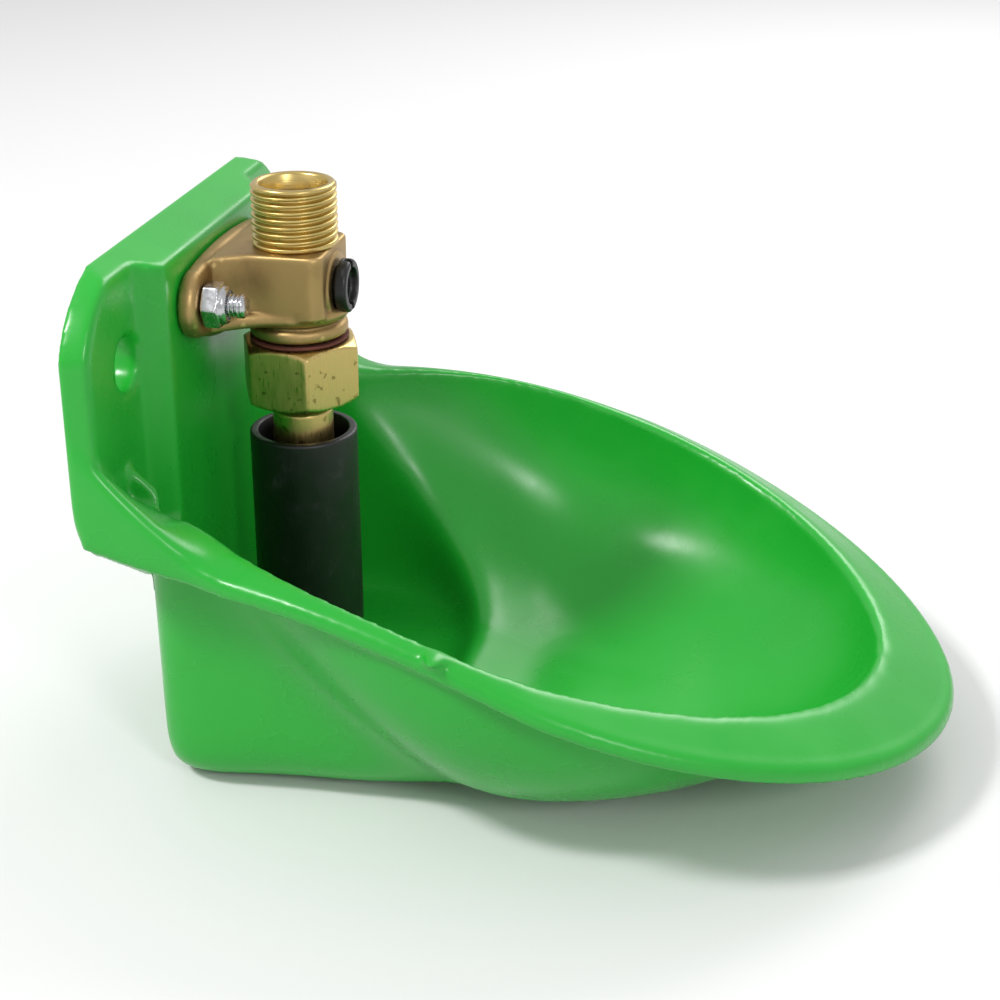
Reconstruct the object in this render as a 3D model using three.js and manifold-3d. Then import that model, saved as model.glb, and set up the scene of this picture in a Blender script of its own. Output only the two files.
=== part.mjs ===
// Wall-mounted animal drinking bowl with a brass tube valve.  Millimetres, +Z up.
// The wall is at +Y, the nose of the bowl points to -Y, the flat bottom is z = 0.
import * as THREE from 'three';
import { mergeVertices } from 'three/addons/utils/BufferGeometryUtils.js';
import Module from 'manifold-3d';

const wasm = await Module();
wasm.setup();
const { Manifold, Mesh } = wasm;

// ---- driving dimensions ------------------------------------------------------------------
const wall = 3;                    // moulded plastic wall
const gap = 0.3;                   // fit clearance between neighbouring pieces
const wallPlaneY = 100;            // rear rim of the back plate, against the wall
const noseY = -100;                // outermost point of the lip
const halfWidth = 87;              // outer edge of the lip at its widest
const widestY = -10;
const lipBackHalf = 72.5;          // the lip draws in to this half width at the back
const lipHeightAtMiddle = 52.5;    // height of the outer lip edge at y = 0
const lipSlope = 0.34;             // the lip falls this much per mm towards the nose
const lipFlattening = 0.0025;      // and bends level towards the back plate
const lipCamber = 3.2;             // the mouth stands this much above the outer edge
const lipSkirt = 4.6;
const finStartY = 76;              // from here the lip climbs the back plate as a fin
const finRise = 29;

const panelFrontY = 87.2;          // middle panel of the back plate
const wingFrontY = 93;             // side wings of the back plate
const plateHalfWidth = 70;
const plateTop = 130.2;
const plateTopHalf = 51;           // straight part of the top edge
const plateShoulderZ = 114;        // where the upper corner chamfer ends
const plateLowerZ = 80;            // where the lower corner rounding starts
const plateBottom = 45;
const plateBottomHalf = 33;
const plateCornerZ = 61.5;         // outer end of the slanting lower edge
const plateCornerHalf = 58;
const panelHalfWidth = 37.5;
const bandFall = 0.34;             // slope of the turned-back top edge
const wallHoleX = 47;
const wallHoleZ = 106;
const wallHoleDiameter = 12.5;
const sleeveRadius = 9.2;          // sleeve around each wall hole, down to the wall

const boxHalfWidth = 58.5;         // deep well at the back
const boxFrontY = 16;
const boxEdgeRadius = 7;
const bellyCentreY = 2;            // wide dish in front
const bellyHalfWidth = 82.5;
const bellyFrontLength = 92;
const bellyBackLength = 99;
const bellyDepth = 62;
const bellyCentreZ = 61.2;
const bellyBackDrawIn = 1.22;      // the back of the dish draws in this much per mm of depth
const bellyFullness = 3;           // exponent of the side profile

const axisY = 67;                  // vertical axis of the valve
const inletTop = 138;
const inletRadius = 10.4775;       // G1/2 male thread
const inletPitch = 1.814;
const inletDepth = 1.162;
const inletTurns = 8;
const inletBoreRadius = 7.6;
const blockTop = 122.6;
const blockBottom = 108;
const blockHalfWidth = 12.6;
const blockFrontY = axisY - 9.8;
const regulatorZ = 112.6;
const flangeFrontY = 82.6;
const flangeBackY = panelFrontY - gap;
const boltX = 22.5;
const boltZ = 113.2;
const earRadius = 8.3;

const nutAcrossFlats = 27;
const nutTop = 98.6;
const nutBottom = 83;
const pivotZ = 92;                 // centre that the stem's ball head tilts about
const ballRadius = 7.1;
const stemRadius = 7.6;
const neckRadius = 3.8;
const nutMouthRadius = 6.4;
const stemBottom = 56;
const tubeRadius = 13.7;
const tubeBore = 11.4;
const tubeTop = 74.4;
const tubeBottom = 19;
const hubTop = 68;
const hubBottom = 61;

// ---- helpers ------------------------------------------------------------------------------
const solidOf = (geometry) => {
  const bare = geometry.index ? geometry.toNonIndexed() : geometry.clone();
  for (const name of Object.keys(bare.attributes)) if (name !== 'position') bare.deleteAttribute(name);
  const merged = mergeVertices(bare, 1e-4);
  const index = Array.from(merged.index.array);
  const kept = [];
  for (let i = 0; i < index.length; i += 3) {
    const [a, b, c] = index.slice(i, i + 3);
    if (a !== b && b !== c && a !== c) kept.push(a, b, c);
  }
  return new Manifold(new Mesh({
    numProp: 3,
    vertProperties: new Float32Array(merged.attributes.position.array),
    triVerts: new Uint32Array(kept),
  }));
};

const geometryOf = (solid) => {
  const mesh = solid.getMesh();
  const positions = new Float32Array(mesh.numVert * 3);
  for (let i = 0; i < mesh.numVert; i += 1) {
    for (let k = 0; k < 3; k += 1) positions[i * 3 + k] = mesh.vertProperties[i * mesh.numProp + k];
  }
  const geometry = new THREE.BufferGeometry();
  geometry.setAttribute('position', new THREE.BufferAttribute(positions, 3));
  geometry.setIndex(new THREE.BufferAttribute(new Uint32Array(mesh.triVerts), 1));
  const flat = geometry.toNonIndexed();
  flat.computeVertexNormals();
  return flat;
};

const join = (...solids) => Manifold.union(solids);

// A cylinder standing on z0, reaching z1.
const post = (radius, z0, z1, x = 0, y = 0, sides = 36) => solidOf(
  new THREE.CylinderGeometry(radius, radius, z1 - z0, sides)
    .rotateX(Math.PI / 2).translate(x, y, (z0 + z1) / 2));

// A cylinder lying along Y.
const rod = (radius, y0, y1, x = 0, z = 0, sides = 32) => solidOf(
  new THREE.CylinderGeometry(radius, radius, y1 - y0, sides)
    .translate(x, (y0 + y1) / 2, z));

const block = (x0, x1, y0, y1, z0, z1) => solidOf(
  new THREE.BoxGeometry(x1 - x0, y1 - y0, z1 - z0)
    .translate((x0 + x1) / 2, (y0 + y1) / 2, (z0 + z1) / 2));

// Revolves [radius, z] points about the vertical valve axis.
const turned = (points, sides = 40) => solidOf(
  new THREE.LatheGeometry(points.map(([r, z]) => new THREE.Vector2(r, z)), sides)
    .rotateX(Math.PI / 2).translate(0, axisY, 0));

// Revolves [radius, y] points about a line parallel to Y.
const turnedAlongY = (points, x, z, sides = 32) => solidOf(
  new THREE.LatheGeometry(points.map(([r, y]) => new THREE.Vector2(r, y)), sides)
    .translate(x, 0, z));

// Skins a stack of rings that all have the same number of points and closes both ends.
const skinned = (rings) => {
  const count = rings[0].length;
  const positions = rings.flat().flatMap((p) => [p.x, p.y, p.z]);
  const index = [];
  for (let r = 0; r + 1 < rings.length; r += 1) {
    for (let i = 0; i < count; i += 1) {
      const j = (i + 1) % count;
      const a = r * count + i;
      const b = r * count + j;
      index.push(a, b, b + count, a, b + count, a + count);
    }
  }
  for (const [a, b, c] of capOf(rings[0])) index.push(a, c, b);
  const last = (rings.length - 1) * count;
  for (const [a, b, c] of capOf(rings[rings.length - 1])) index.push(last + a, last + b, last + c);
  const geometry = new THREE.BufferGeometry();
  geometry.setAttribute('position', new THREE.BufferAttribute(new Float32Array(positions), 3));
  geometry.setIndex(index);
  const solid = solidOf(geometry);
  if (solid.volume() > 0) return solid;
  const turnedOut = [];
  for (let i = 0; i < index.length; i += 3) turnedOut.push(index[i], index[i + 2], index[i + 1]);
  geometry.setIndex(turnedOut);
  return solidOf(geometry);
};

// Cuts the flat end of a skin into triangles that run the same way round as its ring.
const capOf = (ring) => {
  const spread = (key) => Math.max(...ring.map((p) => p[key])) - Math.min(...ring.map((p) => p[key]));
  const [across, up] = spread('z') < 1e-6 ? ['x', 'y'] : [spread('x') > spread('y') ? 'x' : 'y', 'z'];
  const flat = ring.map((p) => new THREE.Vector2(p[across], p[up]));
  const triangles = THREE.ShapeUtils.triangulateShape(flat, []);
  const turn = ([a, b, c]) => THREE.ShapeUtils.area([flat[a], flat[b], flat[c]]);
  const whole = triangles.reduce((sum, triangle) => sum + turn(triangle), 0);
  const sameWay = Math.sign(whole) === Math.sign(THREE.ShapeUtils.area(flat));
  return sameWay ? triangles : triangles.map(([a, b, c]) => [a, c, b]);
};

const hexRod = (acrossFlats, y0, y1, x, z) => solidOf(
  new THREE.CylinderGeometry(acrossFlats / Math.sqrt(3), acrossFlats / Math.sqrt(3), y1 - y0, 6)
    .rotateY(Math.PI / 6).translate(x, (y0 + y1) / 2, z));

const signedPower = (value, power) => Math.sign(value) * Math.abs(value) ** power;

const finish = {
  plastic: new THREE.MeshStandardMaterial({ color: 0x2fa83a, roughness: 0.42 }),
  brass: new THREE.MeshStandardMaterial({ color: 0xb8964e, metalness: 1, roughness: 0.35 }),
  black: new THREE.MeshStandardMaterial({ color: 0x1c1e1e, roughness: 0.45 }),
  zinc: new THREE.MeshStandardMaterial({ color: 0xb8b5ba, metalness: 1, roughness: 0.35 }),
  steel: new THREE.MeshStandardMaterial({ color: 0xc4c6c8, metalness: 1, roughness: 0.25 }),
  rubber: new THREE.MeshStandardMaterial({ color: 0x2a2a2a, roughness: 0.8 }),
  fibre: new THREE.MeshStandardMaterial({ color: 0x8a3b2c, roughness: 0.8 }),
  nylon: new THREE.MeshStandardMaterial({ color: 0xe4e6ea, roughness: 0.5 }),
};

const part = new THREE.Group();
part.name = 'float_valve';
const add = (name, solid, material) => {
  const mesh = new THREE.Mesh(geometryOf(solid), material);
  mesh.name = name;
  part.add(mesh);
};

// ---- moulded bowl -------------------------------------------------------------------------
const edgeHeight = (y) => lipHeightAtMiddle + lipSlope * y
  - lipFlattening * Math.max(0, y - 5) ** 2;

// Everything below the lip, lowered by the given amount.
const underLip = (lowered) => {
  const reach = 120;
  const steps = 12;
  const ring = (x) => {
    const points = [new THREE.Vector3(x, -reach, -60), new THREE.Vector3(x, reach, -60)];
    for (let i = 0; i <= steps; i += 1) {
      const y = reach - (2 * reach * i) / steps;
      points.push(new THREE.Vector3(x, y, edgeHeight(y) - lowered));
    }
    return points;
  };
  return skinned([ring(-reach), ring(reach)]);
};

// Plan outline of the deep well: tight corners at the back, wide ones at the front.
const boxOutline = (inset, backY) => {
  const half = boxHalfWidth - inset;
  const backRadius = 9 - inset;
  const frontRadius = 24 - inset;
  const front = boxFrontY + inset;
  const outline = new THREE.Shape();
  outline.absarc(half - backRadius, backY - backRadius, backRadius, 0, Math.PI / 2, false);
  outline.absarc(-half + backRadius, backY - backRadius, backRadius, Math.PI / 2, Math.PI, false);
  outline.absarc(-half + frontRadius, front + frontRadius, frontRadius, Math.PI, 1.5 * Math.PI, false);
  outline.absarc(half - frontRadius, front + frontRadius, frontRadius, 1.5 * Math.PI, 2 * Math.PI, false);
  return outline.getPoints(8).slice(0, -1);
};

// The well tapers a little towards its floor and its bottom edge is rounded.
const well = (inset, backY, floor, top) => {
  const outline = boxOutline(inset, backY);
  const radius = boxEdgeRadius - inset;
  const middleY = (backY + boxFrontY) / 2;
  const rings = [];
  const steps = 5;
  const shrunk = (shrink, z) => outline.map((p) => {
    const half = boxHalfWidth - inset;
    const length = (backY - boxFrontY) / 2;
    return new THREE.Vector3(p.x * (half - shrink) / half,
      backY + (p.y - backY) * (length - shrink / 2) / length, z);
  });
  for (let i = 0; i <= steps; i += 1) {
    const angle = (i / steps) * Math.PI / 2;
    rings.push(shrunk(1.6 + radius * (1 - Math.sin(angle)), floor + radius * (1 - Math.cos(angle))));
  }
  rings.push(shrunk(-0.6, top));
  return skinned(rings);
};

// The dish: an egg-shaped plan whose rings shrink towards a small flat bottom.
const dish = (inset, floor, top) => {
  const around = 56;
  const ring = (scale, z) => Array.from({ length: around }, (_, i) => {
    const angle = (i / around) * 2 * Math.PI;
    const forward = Math.sin(angle) < 0;
    const drawnIn = bellyBackDrawIn * Math.max(0, bellyCentreZ - z);
    const length = (forward ? bellyFrontLength : bellyBackLength - drawnIn) - inset;
    const power = forward ? 2 / 1.85 : 1;
    return new THREE.Vector3(
      (bellyHalfWidth - inset) * scale * signedPower(Math.cos(angle), power),
      bellyCentreY + length * scale * signedPower(Math.sin(angle), power), z);
  });
  const rings = [];
  const depth = bellyDepth - inset;
  const steps = 9;
  for (let i = 0; i <= steps; i += 1) {
    const height = (i / steps) ** 1.6;
    const z = floor + (bellyCentreZ - floor) * height;
    const fall = Math.min(1, (bellyCentreZ - z) / depth);
    rings.push(ring(Math.max(0.34, (1 - fall ** bellyFullness) ** (1 / bellyFullness)), z));
  }
  rings.push(ring(1, top));
  return skinned(rings);
};

// Lip: a cambered band from the mouth out to the edge, with a short skirt hanging from it.
const lip = () => {
  const thick = 3;
  const tuck = 6;                  // how far the band reaches inside the mouth before it is cut
  const back = wallPlaneY - 1.6;
  const sideSteps = 13;
  const noseSteps = 34;
  const mouthHalf = (y) => Math.max(boxHalfWidth - wall, (bellyHalfWidth - wall)
    * Math.sqrt(Math.max(0, 1 - ((y - bellyCentreY) / (bellyBackLength - wall)) ** 2)));
  const sideStation = (sign, y) => {
    const drawnIn = (halfWidth - lipBackHalf) * ((y - widestY) / 75) ** 1.35;
    const climb = Math.max(0, y - finStartY) / (wallPlaneY - 3 - finStartY);
    return {
      inner: new THREE.Vector3(sign * (mouthHalf(y) - tuck), y, edgeHeight(y) + lipCamber + 1.5),
      outer: new THREE.Vector3(sign * Math.max(plateHalfWidth + 0.5, halfWidth - drawnIn), y,
        edgeHeight(y) + finRise * climb),
      out: new THREE.Vector3(sign, 0, 0),
    };
  };
  const noseStation = (turn) => {
    const angle = Math.PI * (1 + turn);
    const power = 2 / 1.9;
    const outerY = widestY + (widestY - noseY) * signedPower(Math.sin(angle), power);
    const innerY = widestY + (bellyFrontLength - 12 - wall - tuck * 2) * Math.sin(angle);
    return {
      inner: new THREE.Vector3((mouthHalf(widestY) - tuck) * Math.cos(angle), innerY,
        edgeHeight(innerY) + lipCamber + 1.5),
      outer: new THREE.Vector3(halfWidth * signedPower(Math.cos(angle), power), outerY, edgeHeight(outerY)),
      out: new THREE.Vector3(Math.cos(angle), Math.sin(angle), 0),
    };
  };
  const sideY = (i) => back + (widestY - back) * (i / sideSteps);
  const stations = [
    ...Array.from({ length: sideSteps }, (_, i) => sideStation(-1, sideY(i))),
    ...Array.from({ length: noseSteps + 1 }, (_, i) => noseStation(i / noseSteps)),
    ...Array.from({ length: sideSteps }, (_, i) => sideStation(1, sideY(sideSteps - 1 - i)))];
  return skinned(stations.map(({ inner, outer, out }) => {
    const at = (inward, fall) => outer.clone().addScaledVector(out, -inward).setZ(outer.z - fall);
    return [inner.clone(), at(2.6, -0.6), at(0.9, 0.1), at(0.2, 1), at(0, 2), at(0, lipSkirt),
      at(thick - 0.5, lipSkirt), at(thick, thick + 0.3), inner.clone().setZ(inner.z - 8.5)];
  }));
};

// Back-plate outline in X and Z, shrunk by an inset.
const plateOutline = (inset) => {
  const shape = new THREE.Shape();
  const half = plateHalfWidth - inset;
  const top = plateTop - inset;
  const slant = inset * 0.45;
  const side = (sign) => (x, z) => [sign * x, z];
  const right = side(1);
  const left = side(-1);
  shape.moveTo(...left(plateTopHalf - slant, top));
  shape.lineTo(...right(plateTopHalf - slant, top));
  shape.quadraticCurveTo(...right(half - 5, plateTop - 5 - inset), ...right(half, plateShoulderZ - slant));
  shape.lineTo(...right(half, plateLowerZ));
  shape.quadraticCurveTo(...right(half - 0.5, plateLowerZ - 13),
    ...right(plateCornerHalf - slant, plateCornerZ + inset));
  shape.lineTo(...right(plateBottomHalf - slant, plateBottom + inset));
  shape.lineTo(...left(plateBottomHalf - slant, plateBottom + inset));
  shape.lineTo(...left(plateCornerHalf - slant, plateCornerZ + inset));
  shape.quadraticCurveTo(...left(half - 0.5, plateLowerZ - 13), ...left(half, plateLowerZ));
  shape.lineTo(...left(half, plateShoulderZ - slant));
  shape.quadraticCurveTo(...left(half - 5, plateTop - 5 - inset), ...left(plateTopHalf - slant, top));
  return shape.getPoints(5).slice(0, -1);
};

const platePiece = (outline, layers) => skinned(layers.map(([y, squeeze]) => outline.map((p) => (
  new THREE.Vector3(p.x * squeeze, y, p.y)))));

const panelOutline = (inset) => {
  const half = panelHalfWidth - inset;
  return [[half, plateBottom + inset], [half, plateTop - inset],
    [-half, plateTop - inset], [-half, plateBottom + inset]].map(([x, z]) => new THREE.Vector2(x, z));
};

// The top edge is turned back: its front falls away along this slanting cut.
const bandCut = (lowered) => {
  const ring = (x) => [
    new THREE.Vector3(x, wallPlaneY + 1, plateTop + 0.5 - lowered),
    new THREE.Vector3(x, wallPlaneY + 1, plateTop + 30),
    new THREE.Vector3(x, panelFrontY - 10, plateTop + 30),
    new THREE.Vector3(x, panelFrontY - 10, plateTop - lowered - bandFall * (wallPlaneY - panelFrontY + 9))];
  return skinned([ring(-90), ring(90)]);
};

const backPlate = () => {
  const outer = join(
    platePiece(plateOutline(0), [[wingFrontY, 0.985], [wallPlaneY, 1]]),
    platePiece(panelOutline(0), [[panelFrontY, 0.97], [wingFrontY + 1, 1.05]]),
  ).subtract(bandCut(0));
  return outer;
};

const plateHollow = () => join(
  platePiece(plateOutline(wall), [[wingFrontY + wall, 0.985], [wallPlaneY + 1, 1]]),
  platePiece(panelOutline(wall), [[panelFrontY + wall, 0.97], [wallPlaneY, 1.04]]),
).subtract(bandCut(wall));

const gusset = (sign) => {
  const profile = (x) => [
    new THREE.Vector3(x, wingFrontY + 1, 84), new THREE.Vector3(x, wingFrontY + 1, 62),
    new THREE.Vector3(x, 79, 62), new THREE.Vector3(x, 79, edgeHeight(79) + 4.5)];
  const x = sign * 51.5;
  return skinned([profile(x - 1.3), profile(x + 1.3)]);
};

// A small pad on the left side of the lip.
const pad = () => solidOf(new THREE.SphereGeometry(1, 14, 8)
  .scale(5.5, 3.2, 1.5).translate(5 - halfWidth, 13, edgeHeight(13) + 0.9));

const bowl = () => {
  const behindMouth = block(-120, 120, -130, panelFrontY, -20, 160);
  const insideWall = block(-120, 120, -130, panelFrontY + wall, -20, 160);
  const outside = join(well(0, panelFrontY + wall, 0, 100), dish(0, 0, 100).intersect(insideWall))
    .intersect(underLip(2.5));
  const body = join(outside, lip(), backPlate(), gusset(-1), gusset(1), pad());
  const inside = join(well(wall, panelFrontY, wall, 150), dish(wall, wall, 150).intersect(behindMouth));
  const holes = [-1, 1].flatMap((sign) => [
    rod(wallHoleDiameter / 2, 80, 110, sign * wallHoleX, wallHoleZ),
    rod(3.3, 80, 110, sign * boltX, boltZ, 24)]);
  const sleeves = [-1, 1].map((sign) => (
    rod(sleeveRadius, wingFrontY + 1, wallPlaneY, sign * wallHoleX, wallHoleZ)));
  return join(body.subtract(join(inside, plateHollow())), ...sleeves).subtract(join(...holes));
};
add('bowl', bowl(), finish.plastic);

// ---- brass valve body ---------------------------------------------------------------------
const inletThread = () => {
  const root = inletRadius - inletDepth;
  const start = inletTop - 1.4;
  const points = [[0, blockTop - 4], [root, blockTop - 4]];
  for (let i = inletTurns - 1; i >= 0; i -= 1) {
    const crest = start - i * inletPitch - inletPitch / 2;
    points.push([root, crest - inletPitch * 0.42], [inletRadius, crest - inletPitch * 0.1],
      [inletRadius, crest + inletPitch * 0.1], [root, crest + inletPitch * 0.42]);
  }
  points.push([root, inletTop - 0.6], [root - 0.4, inletTop], [0, inletTop]);
  return turned(points, 28);
};

const valveBlock = () => {
  const shape = new THREE.Shape();
  const half = blockHalfWidth;
  const back = flangeFrontY + 1 - axisY;
  const front = blockFrontY - axisY;
  const corner = 3;
  shape.moveTo(-half + corner, front);
  shape.lineTo(half - corner, front);
  shape.absarc(half - corner, front + corner, corner, -Math.PI / 2, 0, false);
  shape.quadraticCurveTo(half, 9, half + 3, back);
  shape.lineTo(-half - 3, back);
  shape.quadraticCurveTo(-half, 9, -half, front + corner);
  shape.absarc(-half + corner, front + corner, corner, Math.PI, 1.5 * Math.PI, false);
  return solidOf(new THREE.ExtrudeGeometry(shape, {
    depth: blockTop - blockBottom - 2, curveSegments: 6, bevelEnabled: true,
    bevelThickness: 1, bevelSize: 0.9, bevelOffset: -0.9, bevelSegments: 1,
  }).translate(0, axisY, blockBottom + 1));
};

// Two rounded ears joined by a waist: the flange that lies against the plate.
const valveFlange = () => {
  const shape = new THREE.Shape();
  const waist = 12.2;
  shape.moveTo(-boltX, boltZ + earRadius);
  shape.quadraticCurveTo(-13, boltZ + waist - 4, 0, boltZ + waist - 3.4);
  shape.quadraticCurveTo(13, boltZ + waist - 4, boltX, boltZ + earRadius);
  shape.absarc(boltX, boltZ, earRadius, Math.PI / 2, -Math.PI / 2, true);
  shape.quadraticCurveTo(13, boltZ - waist, 0, boltZ - waist - 1.3);
  shape.quadraticCurveTo(-13, boltZ - waist, -boltX, boltZ - earRadius);
  shape.absarc(-boltX, boltZ, earRadius, -Math.PI / 2, Math.PI / 2, true);
  return solidOf(new THREE.ExtrudeGeometry(shape, {
    depth: flangeBackY - flangeFrontY - 2, curveSegments: 7, bevelEnabled: true,
    bevelThickness: 1, bevelSize: 1, bevelOffset: -1, bevelSegments: 1,
  }).rotateX(Math.PI / 2).translate(0, flangeBackY - 1, 0));
};

const bodyOutletRadius = 10.4;
const valveBody = () => {
  const lower = turned([[0, 92], [bodyOutletRadius, 92], [bodyOutletRadius, nutTop + 1.6],
    [11.8, nutTop + 1.6], [12.4, nutTop + 2.1], [12.4, nutTop + 3.8], [11.8, nutTop + 4.4],
    [12.7, nutTop + 5], [12.7, nutTop + 6.7], [10.7, nutTop + 7.1], [10.7, blockBottom + 2],
    [0, blockBottom + 2]], 32);
  const boss = rod(8.2, blockFrontY - 0.6, axisY, 0, regulatorZ);
  const solid = join(inletThread(), valveBlock(), valveFlange(), lower, boss);
  const waterway = join(
    turned([[0, 118], [inletBoreRadius, 118], [inletBoreRadius, inletTop - 0.6],
      [inletBoreRadius + 0.5, inletTop + 0.2], [0, inletTop + 0.2]], 32),
    post(4.2, 100, 120, 0, axisY, 24),
    turned([[0, 90], [8.7, 90], [8.7, 104], [0, 106]], 32),
    rod(4.7, blockFrontY - 4, axisY + 4.6, 0, regulatorZ, 24),
    ...[-1, 1].map((sign) => rod(3.3, 80, 95, sign * boltX, boltZ, 24)));
  return solid.subtract(waterway);
};
add('valve_body', valveBody(), finish.brass);

const unionGasket = () => turned([[bodyOutletRadius + gap, nutTop + 0.2], [13, nutTop + 0.2],
  [13, nutTop + 1.3], [bodyOutletRadius + gap, nutTop + 1.3], [bodyOutletRadius + gap, nutTop + 0.2]], 32);
add('union_gasket', unionGasket(), finish.fibre);

const unionNut = () => {
  const corner = nutAcrossFlats / Math.sqrt(3);
  const prism = solidOf(new THREE.CylinderGeometry(corner, corner, nutTop - nutBottom, 6)
    .rotateX(Math.PI / 2).rotateZ(THREE.MathUtils.degToRad(-7))
    .translate(0, axisY, (nutTop + nutBottom) / 2));
  const chamfer = turned([[0, nutBottom], [corner - 2, nutBottom], [corner + 0.1, nutBottom + 1.3],
    [corner + 0.1, nutTop - 1.3], [corner - 2, nutTop], [0, nutTop]], 48);
  const bore = turned([[0, nutBottom - 1], [nutMouthRadius, nutBottom - 1],
    [nutMouthRadius, nutBottom + 1.6],
    [10.8, nutBottom + 1.6], [10.8, nutTop + 1], [0, nutTop + 1]], 36);
  return prism.intersect(chamfer).subtract(bore);
};
add('union_nut', unionNut(), finish.brass);

// The height of the ball, or of the socket around it, at a distance from the axis.
const underBall = (radius, r) => pivotZ - Math.sqrt(radius * radius - r * r);

const seatSeal = () => {
  const inner = 6;
  const foot = nutBottom + 1.9;
  const socket = ballRadius + gap;
  return turned([[inner, foot], [10.5, foot], [10.5, underBall(socket, 7) - 0.7],
    [9.8, underBall(socket, 7)], [7, underBall(socket, 7)], [6.5, underBall(socket, 6.5)],
    [inner, underBall(socket, inner)], [inner, foot]], 32);
};
add('seat_seal', seatSeal(), finish.rubber);

// ---- tilting stem, its spring and the black tube ----------------------------------------------
const valveStem = () => {
  const ball = [neckRadius, 4.8, 5.8, 6.6].map((r) => [r, underBall(ballRadius, r)]);
  return turned([[0, stemBottom], [stemRadius - 0.8, stemBottom],
    [stemRadius, stemBottom + 0.8], [stemRadius, hubBottom - 2.1], [stemRadius - 0.9, hubBottom - 2.1],
    [stemRadius - 0.9, hubBottom - 0.8], [stemRadius, hubBottom - 0.8],
    [stemRadius, nutBottom - 3.4], [stemRadius - 1, nutBottom - 2.4],
    [neckRadius, nutBottom - 2.2], ...ball, [ballRadius - 0.1, pivotZ - 0.6], [5, pivotZ - 0.2],
    [1.2, pivotZ - 0.2], [1.1, pivotZ + 0.9], [0, pivotZ + 1.1]], 32);
};
add('valve_stem', valveStem(), finish.brass);

const springCup = () => turned([[0, pivotZ + 1.4], [6.4, pivotZ + 1.4], [6.4, pivotZ + 2.4],
  [3.2, pivotZ + 2.6], [2.9, pivotZ + 4.8], [0, pivotZ + 5]], 28);
add('spring_cup', springCup(), finish.black);

const springWire = 0.55;
const springRadius = 5.2;
const returnSpring = () => {
  const bottom = pivotZ + 4;
  const top = 103.2;
  const turns = 4.5;
  class Coil extends THREE.Curve {
    getPoint(t, target = new THREE.Vector3()) {
      const angle = t * turns * 2 * Math.PI;
      const rise = THREE.MathUtils.clamp((t * (turns) - 0.5) / (turns - 1), 0, 1);
      return target.set(springRadius * Math.cos(angle), axisY + springRadius * Math.sin(angle),
        bottom + (top - bottom) * (0.06 * t + 0.94 * rise));
    }
  }
  const section = new THREE.Shape();
  section.absarc(0, 0, springWire, 0, 2 * Math.PI, false);
  return solidOf(new THREE.ExtrudeGeometry(section, {
    steps: 72, curveSegments: 3, extrudePath: new Coil() }));
};
add('return_spring', returnSpring(), finish.steel);

const drinkerTube = () => turned([[tubeBore, tubeBottom], [tubeRadius - 0.8, tubeBottom],
  [tubeRadius - 0.1, tubeBottom + 0.9], [tubeRadius - 0.3, tubeTop - 3.4], [tubeRadius + 0.1, tubeTop - 2],
  [tubeRadius + 0.1, tubeTop - 0.7], [tubeRadius - 0.6, tubeTop], [tubeBore + 0.5, tubeTop],
  [tubeBore, tubeTop - 1], [tubeBore, hubTop + 0.3], [tubeBore + 0.7, hubTop + 0.1],
  [tubeBore + 0.7, hubBottom - 0.1], [tubeBore, hubBottom - 0.3], [tubeBore, tubeBottom]], 48);
add('drinker_tube', drinkerTube(), finish.black);

const tubeHub = () => {
  const sleeve = turned([[stemRadius + gap, hubBottom], [stemRadius + 1.7, hubBottom],
    [stemRadius + 1.7, hubTop], [stemRadius + gap, hubTop], [stemRadius + gap, hubBottom]], 36);
  const arms = [0, 1, 2, 3].map((i) => solidOf(new THREE.BoxGeometry(4.2, 2.4, hubTop - hubBottom - 0.6)
    .translate(stemRadius + 2.3, 0, 0).rotateZ((i + 0.5) * Math.PI / 2)
    .translate(0, axisY, (hubTop + hubBottom) / 2)));
  const hoop = turned([[stemRadius + 1, hubBottom], [tubeBore + 0.4, hubBottom],
    [tubeBore + 0.4, hubTop], [stemRadius + 1, hubTop], [stemRadius + 1, hubBottom]], 48);
  return join(sleeve, ...arms).intersect(join(hoop, sleeve));
};
add('tube_hub', tubeHub(), finish.black);

const hubClip = () => {
  const ring = turned([[stemRadius - 0.7, hubBottom - 1.8], [stemRadius + 1.5, hubBottom - 1.8],
    [stemRadius + 1.5, hubBottom - 1.0], [stemRadius - 0.7, hubBottom - 1.0],
    [stemRadius - 0.7, hubBottom - 1.8]], 36);
  return ring.subtract(block(2, 20, axisY - 1.6, axisY + 1.6, hubBottom - 4, hubBottom + 1));
};
add('hub_clip', hubClip(), finish.steel);

// ---- flow-regulating screw ---------------------------------------------------------------------
const screwFront = blockFrontY - 4.3;
const regulatingScrew = () => {
  const solid = turnedAlongY([[0, screwFront], [6.2, screwFront], [6.6, screwFront + 0.5],
    [6.6, screwFront + 2.9], [4.4, screwFront + 2.9], [4.4, axisY - 8.6], [3.5, axisY - 8.6],
    [3.5, axisY - 6.4], [4.4, axisY - 6.4], [4.4, axisY - 3.4], [3.2, axisY + 2.6], [0, axisY + 2.6]],
    0, regulatorZ);
  const cup = turnedAlongY([[0, screwFront - 1], [4.6, screwFront - 1], [4.1, screwFront + 1.9],
    [0, screwFront + 1.9]], 0, regulatorZ);
  const slot = block(-0.8, 0.8, screwFront - 1, screwFront + 1.9, regulatorZ - 8, regulatorZ + 8);
  return solid.subtract(join(cup, slot));
};
add('regulating_screw', regulatingScrew(), finish.black);

const regulatorRing = () => turnedAlongY([[3.7, axisY - 8.2], [4.2, axisY - 8.4], [4.5, axisY - 7.5],
  [4.2, axisY - 6.6], [3.7, axisY - 6.8], [3.7, axisY - 8.2]], 0, regulatorZ, 28);
add('regulator_ring', regulatorRing(), finish.rubber);

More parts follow.
